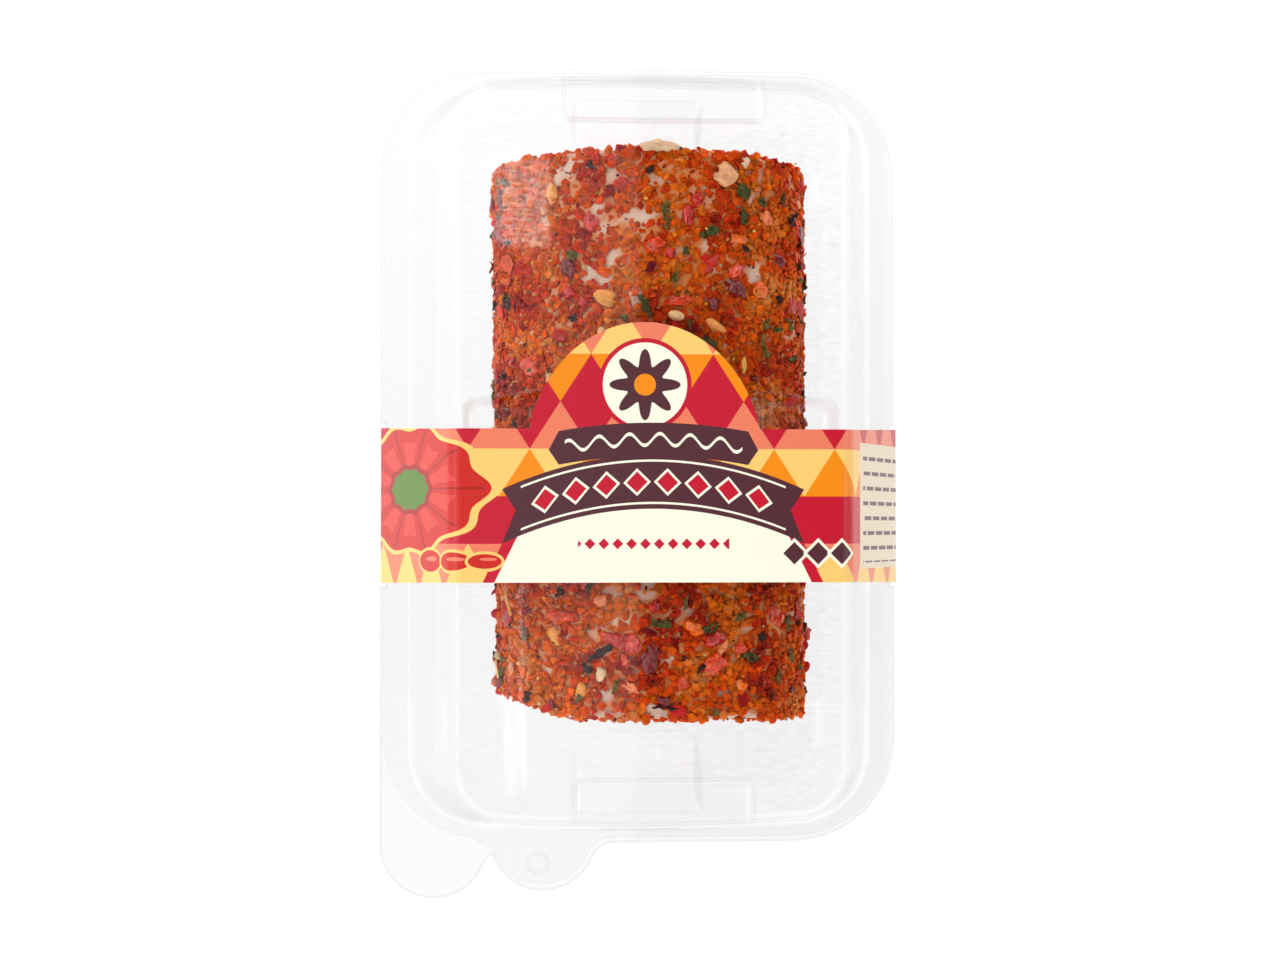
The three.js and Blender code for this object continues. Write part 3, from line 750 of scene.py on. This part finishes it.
# Chunks of red pepper: soft and lumpy, wet on the outside.
CHUNKS = (
    (-7.9, 31.8, 2.4, 2.8, 20, "red"), (-10.9, 25.3, 2.2, 2.6, 0, "plum"), (-7.2, 40.7, 1.5, 1.7, 0, "red"),
    (-3.5, 37.0, 1.8, 2.2, 30, "red"), (0.7, 28.6, 2.6, 2.2, 0, "scarlet"),
    (-10.9, 21.9, 1.7, 2.4, 60, "red"), (-9.0, 20.5, 1.5, 1.9, 0, "red"), (5.5, 32.8, 2.0, 2.6, 10, "red"),
    (6.5, 34.8, 2.0, 2.2, 70, "red"), (12.1, 24.8, 2.0, 3.0, 80, "scarlet"),
    (12.1, 22.6, 2.6, 3.8, 60, "plum"), (4.1, 20.6, 1.7, 3.8, -75, "scarlet"),
    (8.5, 25.7, 1.3, 2.8, -15, "red"), (17.8, 27.0, 1.9, 2.2, 0, "plum"), (20.3, 20.8, 2.2, 2.7, 0, "red"),
    (8.9, 20.4, 1.5, 1.8, 0, "plum"), (2.9, 27.3, 1.3, 1.6, 0, "red"), (16.5, 32.8, 1.5, 2.4, 60, "salmon"),
    (12.6, 29.4, 1.6, 2.5, 80, "orange"), (15.5, 22.6, 2.0, 2.4, 0, "orange"),
    (-12.4, -23.0, 2.2, 3.8, 80, "scarlet"), (-3.1, -32.9, 1.7, 2.2, 70, "salmon"),
    (-2.6, -26.9, 1.9, 2.6, 30, "rose"), (-3.6, -29.2, 1.8, 2.2, 0, "rose"),
    (-0.3, -28.7, 2.8, 3.6, 0, "plum"), (-13.5, -35.3, 1.1, 1.4, 0, "plum"),
    (8.8, -26.4, 2.2, 3.3, -60, "red"), (12.6, -27.6, 1.6, 1.9, 0, "scarlet"),
    (8.6, -29.9, 2.6, 4.4, -65, "scarlet"), (4.4, -32.3, 1.8, 2.5, 0, "scarlet"),
    (17.6, -23.1, 2.4, 3.0, 70, "scarlet"), (20.4, -33.8, 1.3, 1.5, 0, "plum"),
    (1.6, -34.7, 1.5, 1.8, 60, "plum"), (0.4, -21.8, 1.5, 1.8, 0, "red"),
    (10.0, -27.5, 1.3, 2.0, -35, "salmon"), (5.9, -24.7, 1.8, 3.0, 70, "orange"),
    (12.6, -32.7, 1.6, 1.9, 30, "orange"), (-4.9, -26.4, 2.4, 3.6, 60, "red"),
    (-6.9, -20.8, 1.8, 2.6, 50, "salmon"),
)
CHUNK_COLOURS = {
    "red": (0.52, 0.020, 0.014), "plum": (0.18, 0.008, 0.010), "scarlet": (0.68, 0.050, 0.008),
    "orange": (0.82, 0.14, 0.004), "salmon": (0.80, 0.20, 0.06), "rose": (0.63, 0.05, 0.028),
}
placed_and_scattered(
    "pepper_chunks", CHUNKS, CHUNK_COLOURS, usual=4, count=168, thickness=0.75, rise=0.3,
    finish="pepper_chunks", skew=0.16, crumple=(0.55, 0.8),
)

# Thin flakes of red pepper skin lie flat.
FLAKE_COLOURS = ((0.55, 0.02, 0.015), (0.70, 0.06, 0.01), (0.32, 0.01, 0.01), (0.20, 0.008, 0.012))
places, normals = elsewhere(FLAKES)
picked = random.integers(len(spots), size=FLAKES // 4)
places[:len(picked)], normals[:len(picked)] = spots[picked], spot_normals[picked]
sizes = random.uniform((0.4, 0.6, 0.09), (0.8, 1.3, 0.14), size=(FLAKES, 3))
axes = frames_on(normals, random.uniform(0, math.tau, size=FLAKES), 0.25)
tints = tinted(FLAKE_COLOURS, FLAKES, 0.2)
flakes = joined_pieces("red_flakes", chip, places + normals * 0.55, axes, sizes, tints, skew=0.25, bend=0.5)
finished(flakes, "pepper_granules")

# Crushed herb leaves: thin, curled and wavy, some dried nearly black.
LEAVES = (
    (-10.5, 27.1, 0.9, 1.7, 70, "olive"), (-18.7, 29.5, 0.9, 1.1, 0, "dark"),
    (-19.1, 20.9, 1.2, 1.7, 60, "dark"), (-10.2, 18.4, 0.9, 1.3, 20, "dark"),
    (-7.9, 39.7, 0.8, 1.4, 20, "dark"), (0.2, 39.0, 1.5, 1.6, 70, "dark"),
    (-19.8, 38.8, 1.3, 1.6, 0, "olive"), (-0.6, 20.0, 0.9, 2.8, 25, "green"),
    (-3.4, 18.4, 0.8, 1.2, 60, "olive"), (12.9, 36.3, 2.0, 2.6, 60, "green"),
    (13.1, 32.8, 1.3, 2.7, 10, "green"), (8.3, 30.4, 1.2, 1.8, 110, "green"),
    (2.3, 32.5, 0.9, 3.6, 5, "olive"), (15.9, 35.1, 0.8, 1.3, 0, "green"), (18.9, 35.9, 0.7, 2.1, 0, "green"),
    (20.4, 33.0, 0.9, 2.2, -20, "dark"), (13.1, 28.3, 0.6, 1.3, 60, "dark"),
    (5.2, 27.7, 1.1, 1.4, 30, "green"), (3.6, 23.9, 0.8, 2.1, 0, "olive"), (20.1, 17.9, 1.6, 2.4, 0, "olive"),
    (18.3, 21.4, 0.9, 1.2, 0, "dark"), (5.1, 22.0, 0.8, 1.0, 0, "green"), (16.4, 17.9, 0.9, 1.5, 0, "olive"),
    (21.4, 26.7, 0.8, 1.0, 0, "dark"), (-12.3, -19.8, 0.9, 1.9, -60, "dark"),
    (-17.1, -25.5, 0.9, 2.3, 10, "olive"), (-19.1, -24.5, 0.7, 0.9, 0, "dark"),
    (-6.9, -28.1, 1.1, 2.8, -55, "dark"), (-8.7, -30.3, 1.3, 2.1, -80, "dark"),
    (-4.9, -32.6, 0.7, 2.2, -20, "olive"), (0.9, -24.0, 1.2, 1.8, 90, "green"),
    (-16.7, -34.4, 1.0, 1.4, 0, "dark"), (-9.7, -34.4, 0.9, 1.3, 0, "olive"),
    (4.8, -21.1, 1.2, 2.7, 5, "olive"), (1.9, -23.9, 1.2, 2.2, 80, "green"),
    (8.1, -24.7, 0.8, 2.1, -70, "green"), (12.4, -23.2, 0.8, 1.8, -50, "olive"),
    (13.7, -28.8, 0.8, 2.6, 70, "green"), (20.1, -29.1, 0.9, 1.7, 0, "olive"),
    (18.1, -31.8, 0.7, 1.9, -10, "olive"), (6.9, -30.4, 0.9, 1.5, -60, "dark"),
    (8.6, -36.5, 1.0, 1.7, 80, "olive"), (1.9, -35.6, 0.5, 2.3, 85, "dark"),
    (17.2, -34.6, 0.7, 1.1, 0, "dark"), (19.6, -24.3, 0.9, 2.1, 0, "olive"),
    (15.6, -26.1, 0.8, 1.0, 0, "dark"), (4.4, -29.0, 0.4, 1.3, 0, "dark"), (-8.7, -24.9, 0.7, 1.0, 0, "dark"),
    (-13.1, -27.1, 0.5, 0.7, 0, "green"),
)
LEAF_COLOURS = {"green": (0.062, 0.068, 0.018), "olive": (0.13, 0.105, 0.028), "dark": (0.035, 0.018, 0.016)}
placed_and_scattered(
    "herb_leaves", LEAVES, LEAF_COLOURS, usual=3, count=220, thickness=0.14, rise=0.65,
    finish="herb_leaves", slot="dried_herb", skew=0.22, bend=1.0, wave=0.6, crumple=(0.5, 0.65),
)

# Pieces of onion, clear and amber, and a few cream seeds.
ONIONS = (
    (10.6, 38.5, 2.7, 4.4, 68, "amber"), (-6.0, 21.2, 2.2, 4.0, 70, "gold"),
    (1.5, 42.2, 1.6, 6.4, 86, "husk"), (-6.9, -31.0, 1.4, 2.2, 0, "husk"), (-13.0, 35.7, 1.6, 2.4, 0, "gold"),
    (-13.1, -25.9, 1.6, 2.6, 20, "gold"), (-9.7, -33.4, 1.5, 2.0, 0, "gold"),
    (13.4, 40.5, 1.2, 1.8, 0, "husk"),
)
ONION_COLOURS = {"amber": (0.80, 0.40, 0.20), "gold": (0.80, 0.34, 0.08), "husk": (0.74, 0.52, 0.34)}
placed_and_scattered(
    "onion_pieces", ONIONS, ONION_COLOURS, usual=2, count=36, thickness=0.5, rise=0.4,
    finish="onion", skew=0.1, bend=0.15, wave=0.12, crumple=(0.4, 1.1),
)
placed_and_scattered(
    "seeds", ((3.6, 18.6, 1.5, 2.2, 70, "seed"),), {"seed": (0.80, 0.52, 0.26)},
    usual=1, count=4, thickness=0.6, rise=1.0, finish="onion", skew=0.05,
)

# Single beads of pepper stand out from the sides.
SIDE_BEADS = (
    (23.1, -27.9, 22.0, 1.0), (23.5, -31.1, 21.6, 0.9), (-21.0, -23.2, 20.5, 0.9), (-20.9, -29.7, 21.5, 0.7),
    (-20.6, -34.2, 22.0, 0.7), (-21.2, 33.5, 20.0, 0.7), (22.9, 32.0, 20.5, 0.6),
)
BEAD_COLOURS = ((0.50, 0.02, 0.018), (0.36, 0.012, 0.014))
beads = np.array(SIDE_BEADS)
sizes = beads[:, 3:] * random.uniform(0.85, 1.1, size=(len(beads), 3))
outwards = np.stack([np.sign(beads[:, 0]), 0 * beads[:, 0], 0 * beads[:, 0]], axis=1)
tints = tinted(BEAD_COLOURS, len(beads), 0.1)
axes = frames_on(outwards, np.zeros(len(beads)), 0.3)
ball = small_shape("ball", smooth=3)
piece = joined_pieces("pepper_beads", ball, beads[:, :3], axes, sizes, tints, skew=0.08)
finished(piece, "pepper_granules")

# The clear lid
# A second sheet, drawn up into a dome whose flat top has a pocket by each long side and a step at each end.
# Its rim lies on the tray's, and its one tab on the tray's inner tab, with a small raised ring on it.
LID_RIM = {"half_width": 37.5, "half_length": 56.1, "radius": 15}
LID_TAB = (-14.5, -55.4, 7.4)
LID_CORNER_END = 1.455
LID_Z = 16.3
DOME_FOOT = {"half_width": 33.5, "half_length": 53.2, "radius": 10, "bow": 1.2}
DOME_HEAD = {"half_width": 27.7, "half_length": 50.7, "radius": 7, "bow": 1.2}
DOME_TOP = 38.9
SHOULDER = 1.8
POCKET = {"x": (14.3, 25.5), "half": (7.9, 6.4), "floor": (35.4, 33.4), "draft": 0.95}
STEP_X = 1.8
STEP_DEPTH = 4.4
STEP_FLOOR = 35.9
STEP_HALVES = {-1: 12.0, 1: 13.6}
POCKET_ROUND = 0.9
STEP_ROUND = 0.7
RING = {"major_radius": 1.5 * MM, "minor_radius": 0.4 * MM, "major_segments": 32, "minor_segments": 12}
rim_top = LID_Z + SHEET
head_z = DOME_TOP - SHOULDER

rings = [rounded_rectangle(**grown(DOME_FOOT, RIM_FILLET), z=LID_Z)]
for step in range(ROUND_STEPS + 1):
    angle = step / ROUND_STEPS * (math.pi / 2 - DRAFT)
    z = rim_top + RIM_FILLET * (1 - math.cos(angle)) - 0.01
    sizes = between(DOME_FOOT, DOME_HEAD, (z - LID_Z) / (head_z - LID_Z))
    rings.append(rounded_rectangle(**grown(sizes, RIM_FILLET * (1 - math.sin(angle))), z=z))
for step in range(ROUND_STEPS + 1):
    angle = DRAFT + step / ROUND_STEPS * (math.pi / 2 - DRAFT)
    sizes = grown(DOME_HEAD, -SHOULDER * (1 - math.cos(angle)))
    rings.append(rounded_rectangle(**sizes, z=head_z + SHOULDER * math.sin(angle)))
lid = stacked_form("lid_sheet", rings)

for side in (-1, 1):
    tool = block((0, -1, 0), (1, 1, 1))
    for vertex in tool.data.vertices:
        outer = vertex.co.x > 0.5 * MM
        lean = POCKET["draft"] * (1 if vertex.co.z < 0.5 * MM else -1)
        x = POCKET["x"][outer] + (-lean / 2 if outer else lean)
        y = math.copysign(POCKET["half"][outer] - lean, vertex.co.y)
        z = POCKET["floor"][outer]
        vertex.co = Vector((side * x, y, z if lean > 0 else 2 * DOME_TOP - z)) * MM
    if side < 0:
        tool.data.flip_normals()
    round_edges(tool, POCKET_ROUND, lambda middle: middle.z < DOME_TOP + 1)
    combine(lid, tool, "DIFFERENCE")
for end, half in STEP_HALVES.items():
    reach = DOME_HEAD["half_length"] + DOME_HEAD["bow"] - SHOULDER - STEP_DEPTH
    low, high = sorted((end * reach, end * 70))
    tool = block((STEP_X - half, low, STEP_FLOOR), (STEP_X + half, high, 50), STEP_ROUND)
    combine(lid, tool, "DIFFERENCE")
round_edges(lid, RECESS_ROUND, lambda middle: middle.z > 25)

outline = rim_corners(**LID_RIM)
x, y = LID_RIM["radius"] - LID_RIM["half_width"], LID_RIM["radius"] - LID_RIM["half_length"]
outline += arc(x, y, LID_RIM["radius"], 1, LID_CORNER_END, CORNER_STEPS)
outline += tab_and_fillet(LID_TAB, 1.11, -LID_RIM["half_length"])
rim = stacked_form("lid_rim", [raised(outline, LID_Z), raised(outline, rim_top)])
cut_sleeve_nicks(rim)
combine(lid, rim, "UNION")
bpy.ops.object.select_all(action="DESELECT")
bpy.ops.mesh.primitive_torus_add(location=Vector((*TAB_RING, rim_top)) * MM, **RING)
combine(lid, bpy.context.object, "UNION")
open_into_sheet(
    lid, SHEET,
    lambda normal, middle: middle.z < LID_Z + EDGE_TOLERANCE
    or (abs(normal.z) < 0.3 and middle.z < rim_top - 0.1),
)
mark_cut_edge(lid, rim_top, **LID_RIM)
lid.data.materials.clear()
lid.data.materials.append(clear)
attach(lid, "root")
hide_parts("lid")

# The printed sleeve
# A band of thin card, printed on its outside, that is wrapped round the pack and glued underneath. Its far
# edge stands out into an arch over the roll.
CARD = 0.35
TOP_EDGES = (-18.3, 2.75)
LOW_EDGES = (-18.85, 3.75)
BENDS = (
    (29.2, 0.65, 0.65, -90, -30),
    (36.6, 15.0, 1.25, -27, 0),
    (36.6, 17.3, 1.25, 0, 26),
    (25.9, 37.1, 2.45, 26, 90),
)
ARCH = {"x": -1, "y": -1.5, "half_width": 16.25, "height": 18.9}
SLEEVE_ROWS = 12

half_path = []
for x, z, radius, start, end in BENDS:
    half_path += arc(x, z, radius, start / 180, end / 180, 8)
path = [(0, 0)] + half_path + [(-x, z) for x, z in reversed(half_path)]
rings = []
for step in range(SLEEVE_ROWS + 1):
    ring = []
    for x, z in path:
        rise = min(max((z - LID_Z) / (head_z - LID_Z), 0), 1)
        low = LOW_EDGES[0] + (TOP_EDGES[0] - LOW_EDGES[0]) * rise
        high = LOW_EDGES[1] + (TOP_EDGES[1] - LOW_EDGES[1]) * rise
        ring.append((x, low + (high - low) * step / SLEEVE_ROWS, z))
    rings.append(ring)
sleeve = stacked_form("sleeve_card", rings)
sleeve_top = DOME_TOP + 0.3 + CARD
arch = [
    (ARCH["x"] + ARCH["half_width"] * math.cos(a), ARCH["y"] + ARCH["height"] * math.sin(a))
    for a in np.linspace(0, math.pi, 65)
]
combine(sleeve, stacked_form("arch", [raised(arch, sleeve_top - CARD), raised(arch, sleeve_top)]), "UNION")
open_into_sheet(
    sleeve, CARD,
    lambda normal, middle: abs(normal.y) > 0.8
    or (middle.z > sleeve_top - CARD - 0.05 and normal.z < 0.5 and abs(middle.x) < 20),
)

# Where each corner of a face is on the card before it was wrapped: along it from the middle of the top,
# across it, and whether it is on the printed outside. The card's ends meet under the middle of the pack.
points = np.array([vertex.co[:] for vertex in sleeve.data.vertices]) / MM
starts = np.array(path)
ends = np.roll(starts, -1, axis=0)
steps = np.linalg.norm(ends - starts, axis=1)
travelled = np.concatenate([[0], np.cumsum(steps)])
closest = np.full(len(points), np.inf)
along = np.zeros(len(points))
for start, end, step, base in zip(starts, ends, steps, travelled):
    towards = points[:, [0, 2]] - start
    share = np.clip(towards @ (end - start) / max(step, 1e-9) ** 2, 0, 1)
    distance = np.linalg.norm(towards - share[:, None] * (end - start), axis=1)
    nearer = distance < closest - 1e-6
    closest[nearer] = distance[nearer]
    along[nearer] = travelled[-1] / 2 - (base + share[nearer] * step)
unwrapped = []
for face in sleeve.data.polygons:
    for number in face.vertices:
        x, y, z = points[number]
        at_seam = abs(x) < 0.01 and z < 1
        place = math.copysign(along[number], face.center.x) if at_seam else along[number]
        unwrapped.append((place, y, float(closest[number] < CARD / 2)))
wrap = sleeve.data.attributes.new("wrap", "FLOAT_VECTOR", "CORNER")
wrap.data.foreach_set("vector", np.ravel(unwrapped))

printed, tree, surface = blank_finish("printed_card")
wrapped = node("Attribute", {}, "Vector", attribute_name="wrap")
u, v, outer = node("SeparateXYZ", {"Vector": wrapped}).node.outputs


def inked(under, colour, *limits):
    """A colour printed over what is there already, where every value is below its limit."""
    mask, *others = [maths("LESS_THAN", value, limit) for value, limit in limits]
    for other in others:
        mask = maths("MULTIPLY", mask, other)
    return node("Mix", {"Factor": mask, "A": under, "B": (*colour, 1)}, "Result", data_type="RGBA")


def off(value, centre):
    """How far a value is from a centre, to either side."""
    return maths("ABSOLUTE", maths("SUBTRACT", value, centre))


def off_middle(value, pitch):
    """How far a value is from the middle of its step, in a row of even steps, as a share of one."""
    return off(maths("FRACT", maths("DIVIDE", value, pitch)), 0.5)


def square(value):
    """A value times itself."""
    return maths("MULTIPLY", value, value)


def ellipse(x, y, half_width, half_height):
    """The squared distance from a centre, which is 1 on an ellipse's outline."""
    dx = maths("DIVIDE", maths("SUBTRACT", u, x), half_width)
    dy = maths("DIVIDE", maths("SUBTRACT", v, y), half_height)
    return maths("ADD", square(dx), square(dy))


YELLOW = (0.98, 0.62, 0.17)
ORANGE = (0.94, 0.27, 0.003)
SALMON = (0.87, 0.215, 0.117)
CRIMSON = (0.58, 0.006, 0.028)
CREAM = (0.98, 0.96, 0.78)
PLUM = (0.09, 0.023, 0.033)
RED = (0.62, 0.014, 0.008)
LIGHT_RED = (0.72, 0.05, 0.035)
DARK_RED = (0.40, 0.008, 0.006)
LEAF = (0.10, 0.22, 0.02)
BEIGE = (0.82, 0.68, 0.50)
BARE_CARD = (0.86, 0.85, 0.81)

# A harlequin ground: diamonds, each halved across, in four warm colours.
GROUND = ((0, YELLOW), (0.2, SALMON), (0.4, CRIMSON), (0.8, ORANGE))
DIAMOND_WIDTH = 8.4
DIAMOND_HEIGHT = 13.0
columns, rows = maths("DIVIDE", u, DIAMOND_WIDTH), maths("DIVIDE", v, DIAMOND_HEIGHT)
rising, falling = maths("ADD", columns, rows), maths("SUBTRACT", columns, rows)
half = maths("GREATER_THAN", maths("SUBTRACT", maths("FRACT", rising), maths("FRACT", falling)), 0.0)
number = maths("MULTIPLY_ADD", maths("FLOOR", rising), 2, maths("MULTIPLY", maths("FLOOR", falling), 3))
turn_of_five = maths("FRACT", maths("DIVIDE", maths("ADD", maths("ADD", number, half), 0.5), 5))
ink = colour_ramp(turn_of_five, GROUND, "CONSTANT")

# The arch: a many-petalled rosette on a cream disc, over a short plum ribbon with a wavy line.
ROSETTE = (-1, 8.8)
across = off(u, 0.2)
for colour, radius in ((CRIMSON, 6.4), (CREAM, 5.8)):
    ink = inked(ink, colour, (ellipse(*ROSETTE, radius, radius), 1))
turn = maths("ARCTAN2", maths("SUBTRACT", v, ROSETTE[1]), maths("SUBTRACT", u, ROSETTE[0]))
petal = maths("MULTIPLY_ADD", maths("COSINE", maths("MULTIPLY", turn, 8)), 0.22, 0.72)
ink = inked(ink, PLUM, (maths("DIVIDE", ellipse(*ROSETTE, 5.2, 5.2), square(petal)), 1))
ink = inked(ink, ORANGE, (ellipse(*ROSETTE, 1.5, 1.5), 1))
short_line = maths("MULTIPLY_ADD", square(across), -0.007, 1.3)
from_short = off(v, short_line)
ink = inked(ink, PLUM, (maths("MULTIPLY_ADD", from_short, 0.6, across), 14.4), (from_short, 2.3))
wavy_line = maths("MULTIPLY_ADD", maths("SINE", maths("MULTIPLY", u, 1.5)), 0.8, short_line)
ink = inked(ink, CREAM, (off(v, wavy_line), 0.24), (across, 12.2))

# The lower middle: a cream field in a crimson border, under a long plum ribbon with a chain of lozenges.
long_line = maths("MULTIPLY_ADD", square(across), -0.011, -4.5)
from_long = off(v, long_line)
narrowed = maths("SUBTRACT", across, maths("MULTIPLY", maths("ADD", v, 18.3), -0.5))
for colour, half_width in ((CRIMSON, 23.4), (CREAM, 21.8)):
    ink = inked(ink, colour, (narrowed, half_width), (v, long_line))
notched = maths("SUBTRACT", across, maths("MULTIPLY", from_long, 0.5))
ink = inked(ink, PLUM, (notched, 18.9), (from_long, 3.7))
ink = inked(ink, CREAM, (off(from_long, 2.9), 0.15), (across, 18.2))
lozenge = maths("MULTIPLY_ADD", off_middle(u, 4.2), 4.2, from_long)
for colour, size in ((CREAM, 1.9), (CRIMSON, 1.45)):
    ink = inked(ink, colour, (lozenge, size), (across, 16.8))

# A row of small lozenges in the cream field, and three larger ones at its right.
lozenge = maths("MULTIPLY_ADD", off_middle(u, 1.9), 1.9, off(v, -13.0))
ink = inked(ink, CRIMSON, (lozenge, 0.75), (across, 10.4))
for centre in (19.6, 22.9, 26.2):
    lozenge = maths("ADD", off(u, centre), off(v, -14.3))
    for colour, size in ((CREAM, 2.1), (PLUM, 1.55)):
        ink = inked(ink, colour, (lozenge, size))

# The left side: one large red blossom with a green eye, and three red drops.
BLOSSOM = (-41, -5.4)
half_across = maths("MULTIPLY", maths("SUBTRACT", u, BLOSSOM[0]), 0.5)
turn = maths("ARCTAN2", maths("SUBTRACT", v, BLOSSOM[1]), half_across)
lobes = maths("MULTIPLY_ADD", maths("COSINE", maths("MULTIPLY", turn, 10)), 0.045, 1)
blossom = maths("DIVIDE", ellipse(*BLOSSOM, 18.2, 8.6), square(lobes))
vein = maths("ABSOLUTE", maths("SINE", maths("MULTIPLY", turn, 5)))
ink = inked(ink, YELLOW, (blossom, 1.14))
ink = inked(ink, RED, (blossom, 1))
ink = inked(ink, LIGHT_RED, (blossom, 0.62), (maths("MULTIPLY_ADD", vein, -1, 0.9), 0.25))
ink = inked(ink, DARK_RED, (vein, 0.10), (blossom, 0.9))
ink = inked(ink, DARK_RED, (blossom, 0.17))
ink = inked(ink, LEAF, (blossom, 0.11))
for centre, size in ((-34.0, 1.5), (-27.6, 1.25), (-22.9, 1.0)):
    ink = inked(ink, YELLOW, (ellipse(centre, -15.4, 2.3 * size + 0.4, size + 0.4), 1))
    ink = inked(ink, RED, (ellipse(centre, -15.4, 2.3 * size, size), 1))
    ink = inked(ink, SALMON, (ellipse(centre + 0.5, -15.1, 1.2 * size, 0.22 * size), 1))

# The right side: a beige field with broken fine rules.
from_field_x, from_field_y = off(u, 46), off(v, -7.7)
ink = inked(ink, BEIGE, (from_field_x, 14.2), (from_field_y, 8.8))
row = maths("FLOOR", maths("DIVIDE", v, 2.1))
dash = maths("FRACT", maths("MULTIPLY_ADD", row, 0.37, maths("MULTIPLY", u, 0.23)))
ink = inked(ink, PLUM, (off_middle(v, 2.1), 0.13), (dash, 0.82), (from_field_x, 12.6), (from_field_y, 8.0))

# The inside and the cut edges are bare card. The print is slightly grained.
grain = node("TexNoise", {"Vector": wrapped, "Scale": 2.2})
feed(surface, {
    "Base Color": inked(ink, BARE_CARD, (outer, 0.5)), "Roughness": 0.32,
    "Normal": node("Bump", {"Strength": 0.08, "Distance": 0.0001, "Height": grain}),
})
sleeve.data.materials.clear()
sleeve.data.materials.append(printed)
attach(sleeve, "root")
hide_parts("sleeve")

# The table and the light
# A white table that glows by itself. Its glow is painted darker under the pack than beside and beyond it,
# and darker towards its near end: painted shade. Light comes in from all round, low down. A wide soft lamp
# hangs over the left, and shines in the left half of the lid's top.
GLOW_PEAK = 4
GLOW = ((0.56, 0.225), (0.58, 1.0), (0.64, 1.0), (0.66, 0.225), (0.72, 0.225), (0.90, 0.005))

bpy.ops.object.select_all(action="DESELECT")
bpy.ops.mesh.primitive_plane_add(size=4, location=(0, 0, -0.05 * MM))
floor = bpy.context.object
floor.name = "floor"
paper, tree, surface = blank_finish("floor")
x, y, _ = node("SeparateXYZ", {"Vector": node("TexCoord", {}, "Object")}).node.outputs
# Painted shade: the glow is lower under the pack than beside it and beyond its far end, and falls off towards
# the near end.
beside = ramped(maths("ABSOLUTE", x), 0.039, 0.044, 0, 0.18)
beyond = ramped(y, 0.060, 0.065, 0, 0.35)
lit = maths("ADD", ramped(y, -0.021, 0.060, 0.95, 1.04), maths("MAXIMUM", beside, beyond))
feed(surface, {
    "Base Color": grey(0.06), "Roughness": 0.9, "Specular IOR Level": 0,
    "Emission Color": grey(1), "Emission Strength": lit,
})
floor.data.materials.append(paper)

world = bpy.data.worlds.new("studio")
world.use_nodes = True
tree = world.node_tree
x, _, z = node("SeparateXYZ", {"Vector": node("TexCoord", {}, "Generated")}).node.outputs
glow = colour_ramp(z, [(height, 3 * (strength,)) for height, strength in GLOW])
to_the_left = maths("MULTIPLY_ADD", x, -0.3 * GLOW_PEAK, GLOW_PEAK)
feed(tree.nodes["Background"], {"Color": grey(1), "Strength": maths("MULTIPLY", glow, to_the_left)})
bpy.context.scene.world = world
bpy.context.scene.view_settings.view_transform = "Standard"
bpy.context.scene.cycles.transparent_max_bounces = 32
bpy.context.scene.cycles.glossy_bounces = 12
bpy.context.scene.cycles.max_bounces = 16


def lamp(name, low, high, z, brightness):
    """A flat lamp that shines straight down, by its corners in millimetres and its brightness."""
    middle = Vector(((low[0] + high[0]) / 2, (low[1] + high[1]) / 2, z)) * MM
    bpy.ops.object.light_add(type="AREA", location=middle)
    light = bpy.context.object
    light.name = name
    light.data.shape = "RECTANGLE"
    light.data.size = (high[0] - low[0]) * MM
    light.data.size_y = (high[1] - low[1]) * MM
    light.data.energy = brightness * 4 * light.data.size * light.data.size_y


lamp("wide_lamp", (-700, -500), (42, 500), DOME_TOP + 600, 0.44)
lamp("small_lamp", (-15.5, 100.8), (6.4, 136.9), DOME_TOP + 599, 2.5)
lamp("first_strip", (-5.6, -115), (-4.2, -32), DOME_TOP + 598, 2.6)
lamp("second_strip", (-10.4, -117), (-9.0, -56), DOME_TOP + 598, 1.9)

# The view
# The photograph looks down on the pack from a little to its left and in front of its middle. Its scale and
# the place of the rim's middle in it are measured at the height of the rim.
PHOTO_SIZE = (1278, 959)
PHOTO_RIM_MIDDLE = (639.5, 454.5)
PHOTO_SCALE = 6.78
EYE = (-24.6, -10.8, 350.5)
eye = Vector(EYE) * MM
aim = Vector((
    (PHOTO_SIZE[0] / 2 - PHOTO_RIM_MIDDLE[0]) / PHOTO_SCALE,
    (PHOTO_RIM_MIDDLE[1] - PHOTO_SIZE[1] / 2) / PHOTO_SCALE,
    RIM_Z,
)) * MM
backwards = (eye - aim).normalized()
rightwards = Vector((0, 1, 0)).cross(backwards).normalized()
upwards = backwards.cross(rightwards)
bpy.ops.object.camera_add(location=eye)
camera = bpy.context.object
turned = Matrix((rightwards, upwards, backwards)).transposed().to_4x4()
camera.matrix_world = Matrix.Translation(eye) @ turned
camera.data.lens = PHOTO_SCALE * (eye - aim).length / MM * camera.data.sensor_width / PHOTO_SIZE[0]
camera.data.clip_start = 0.01
bpy.context.scene.camera = camera
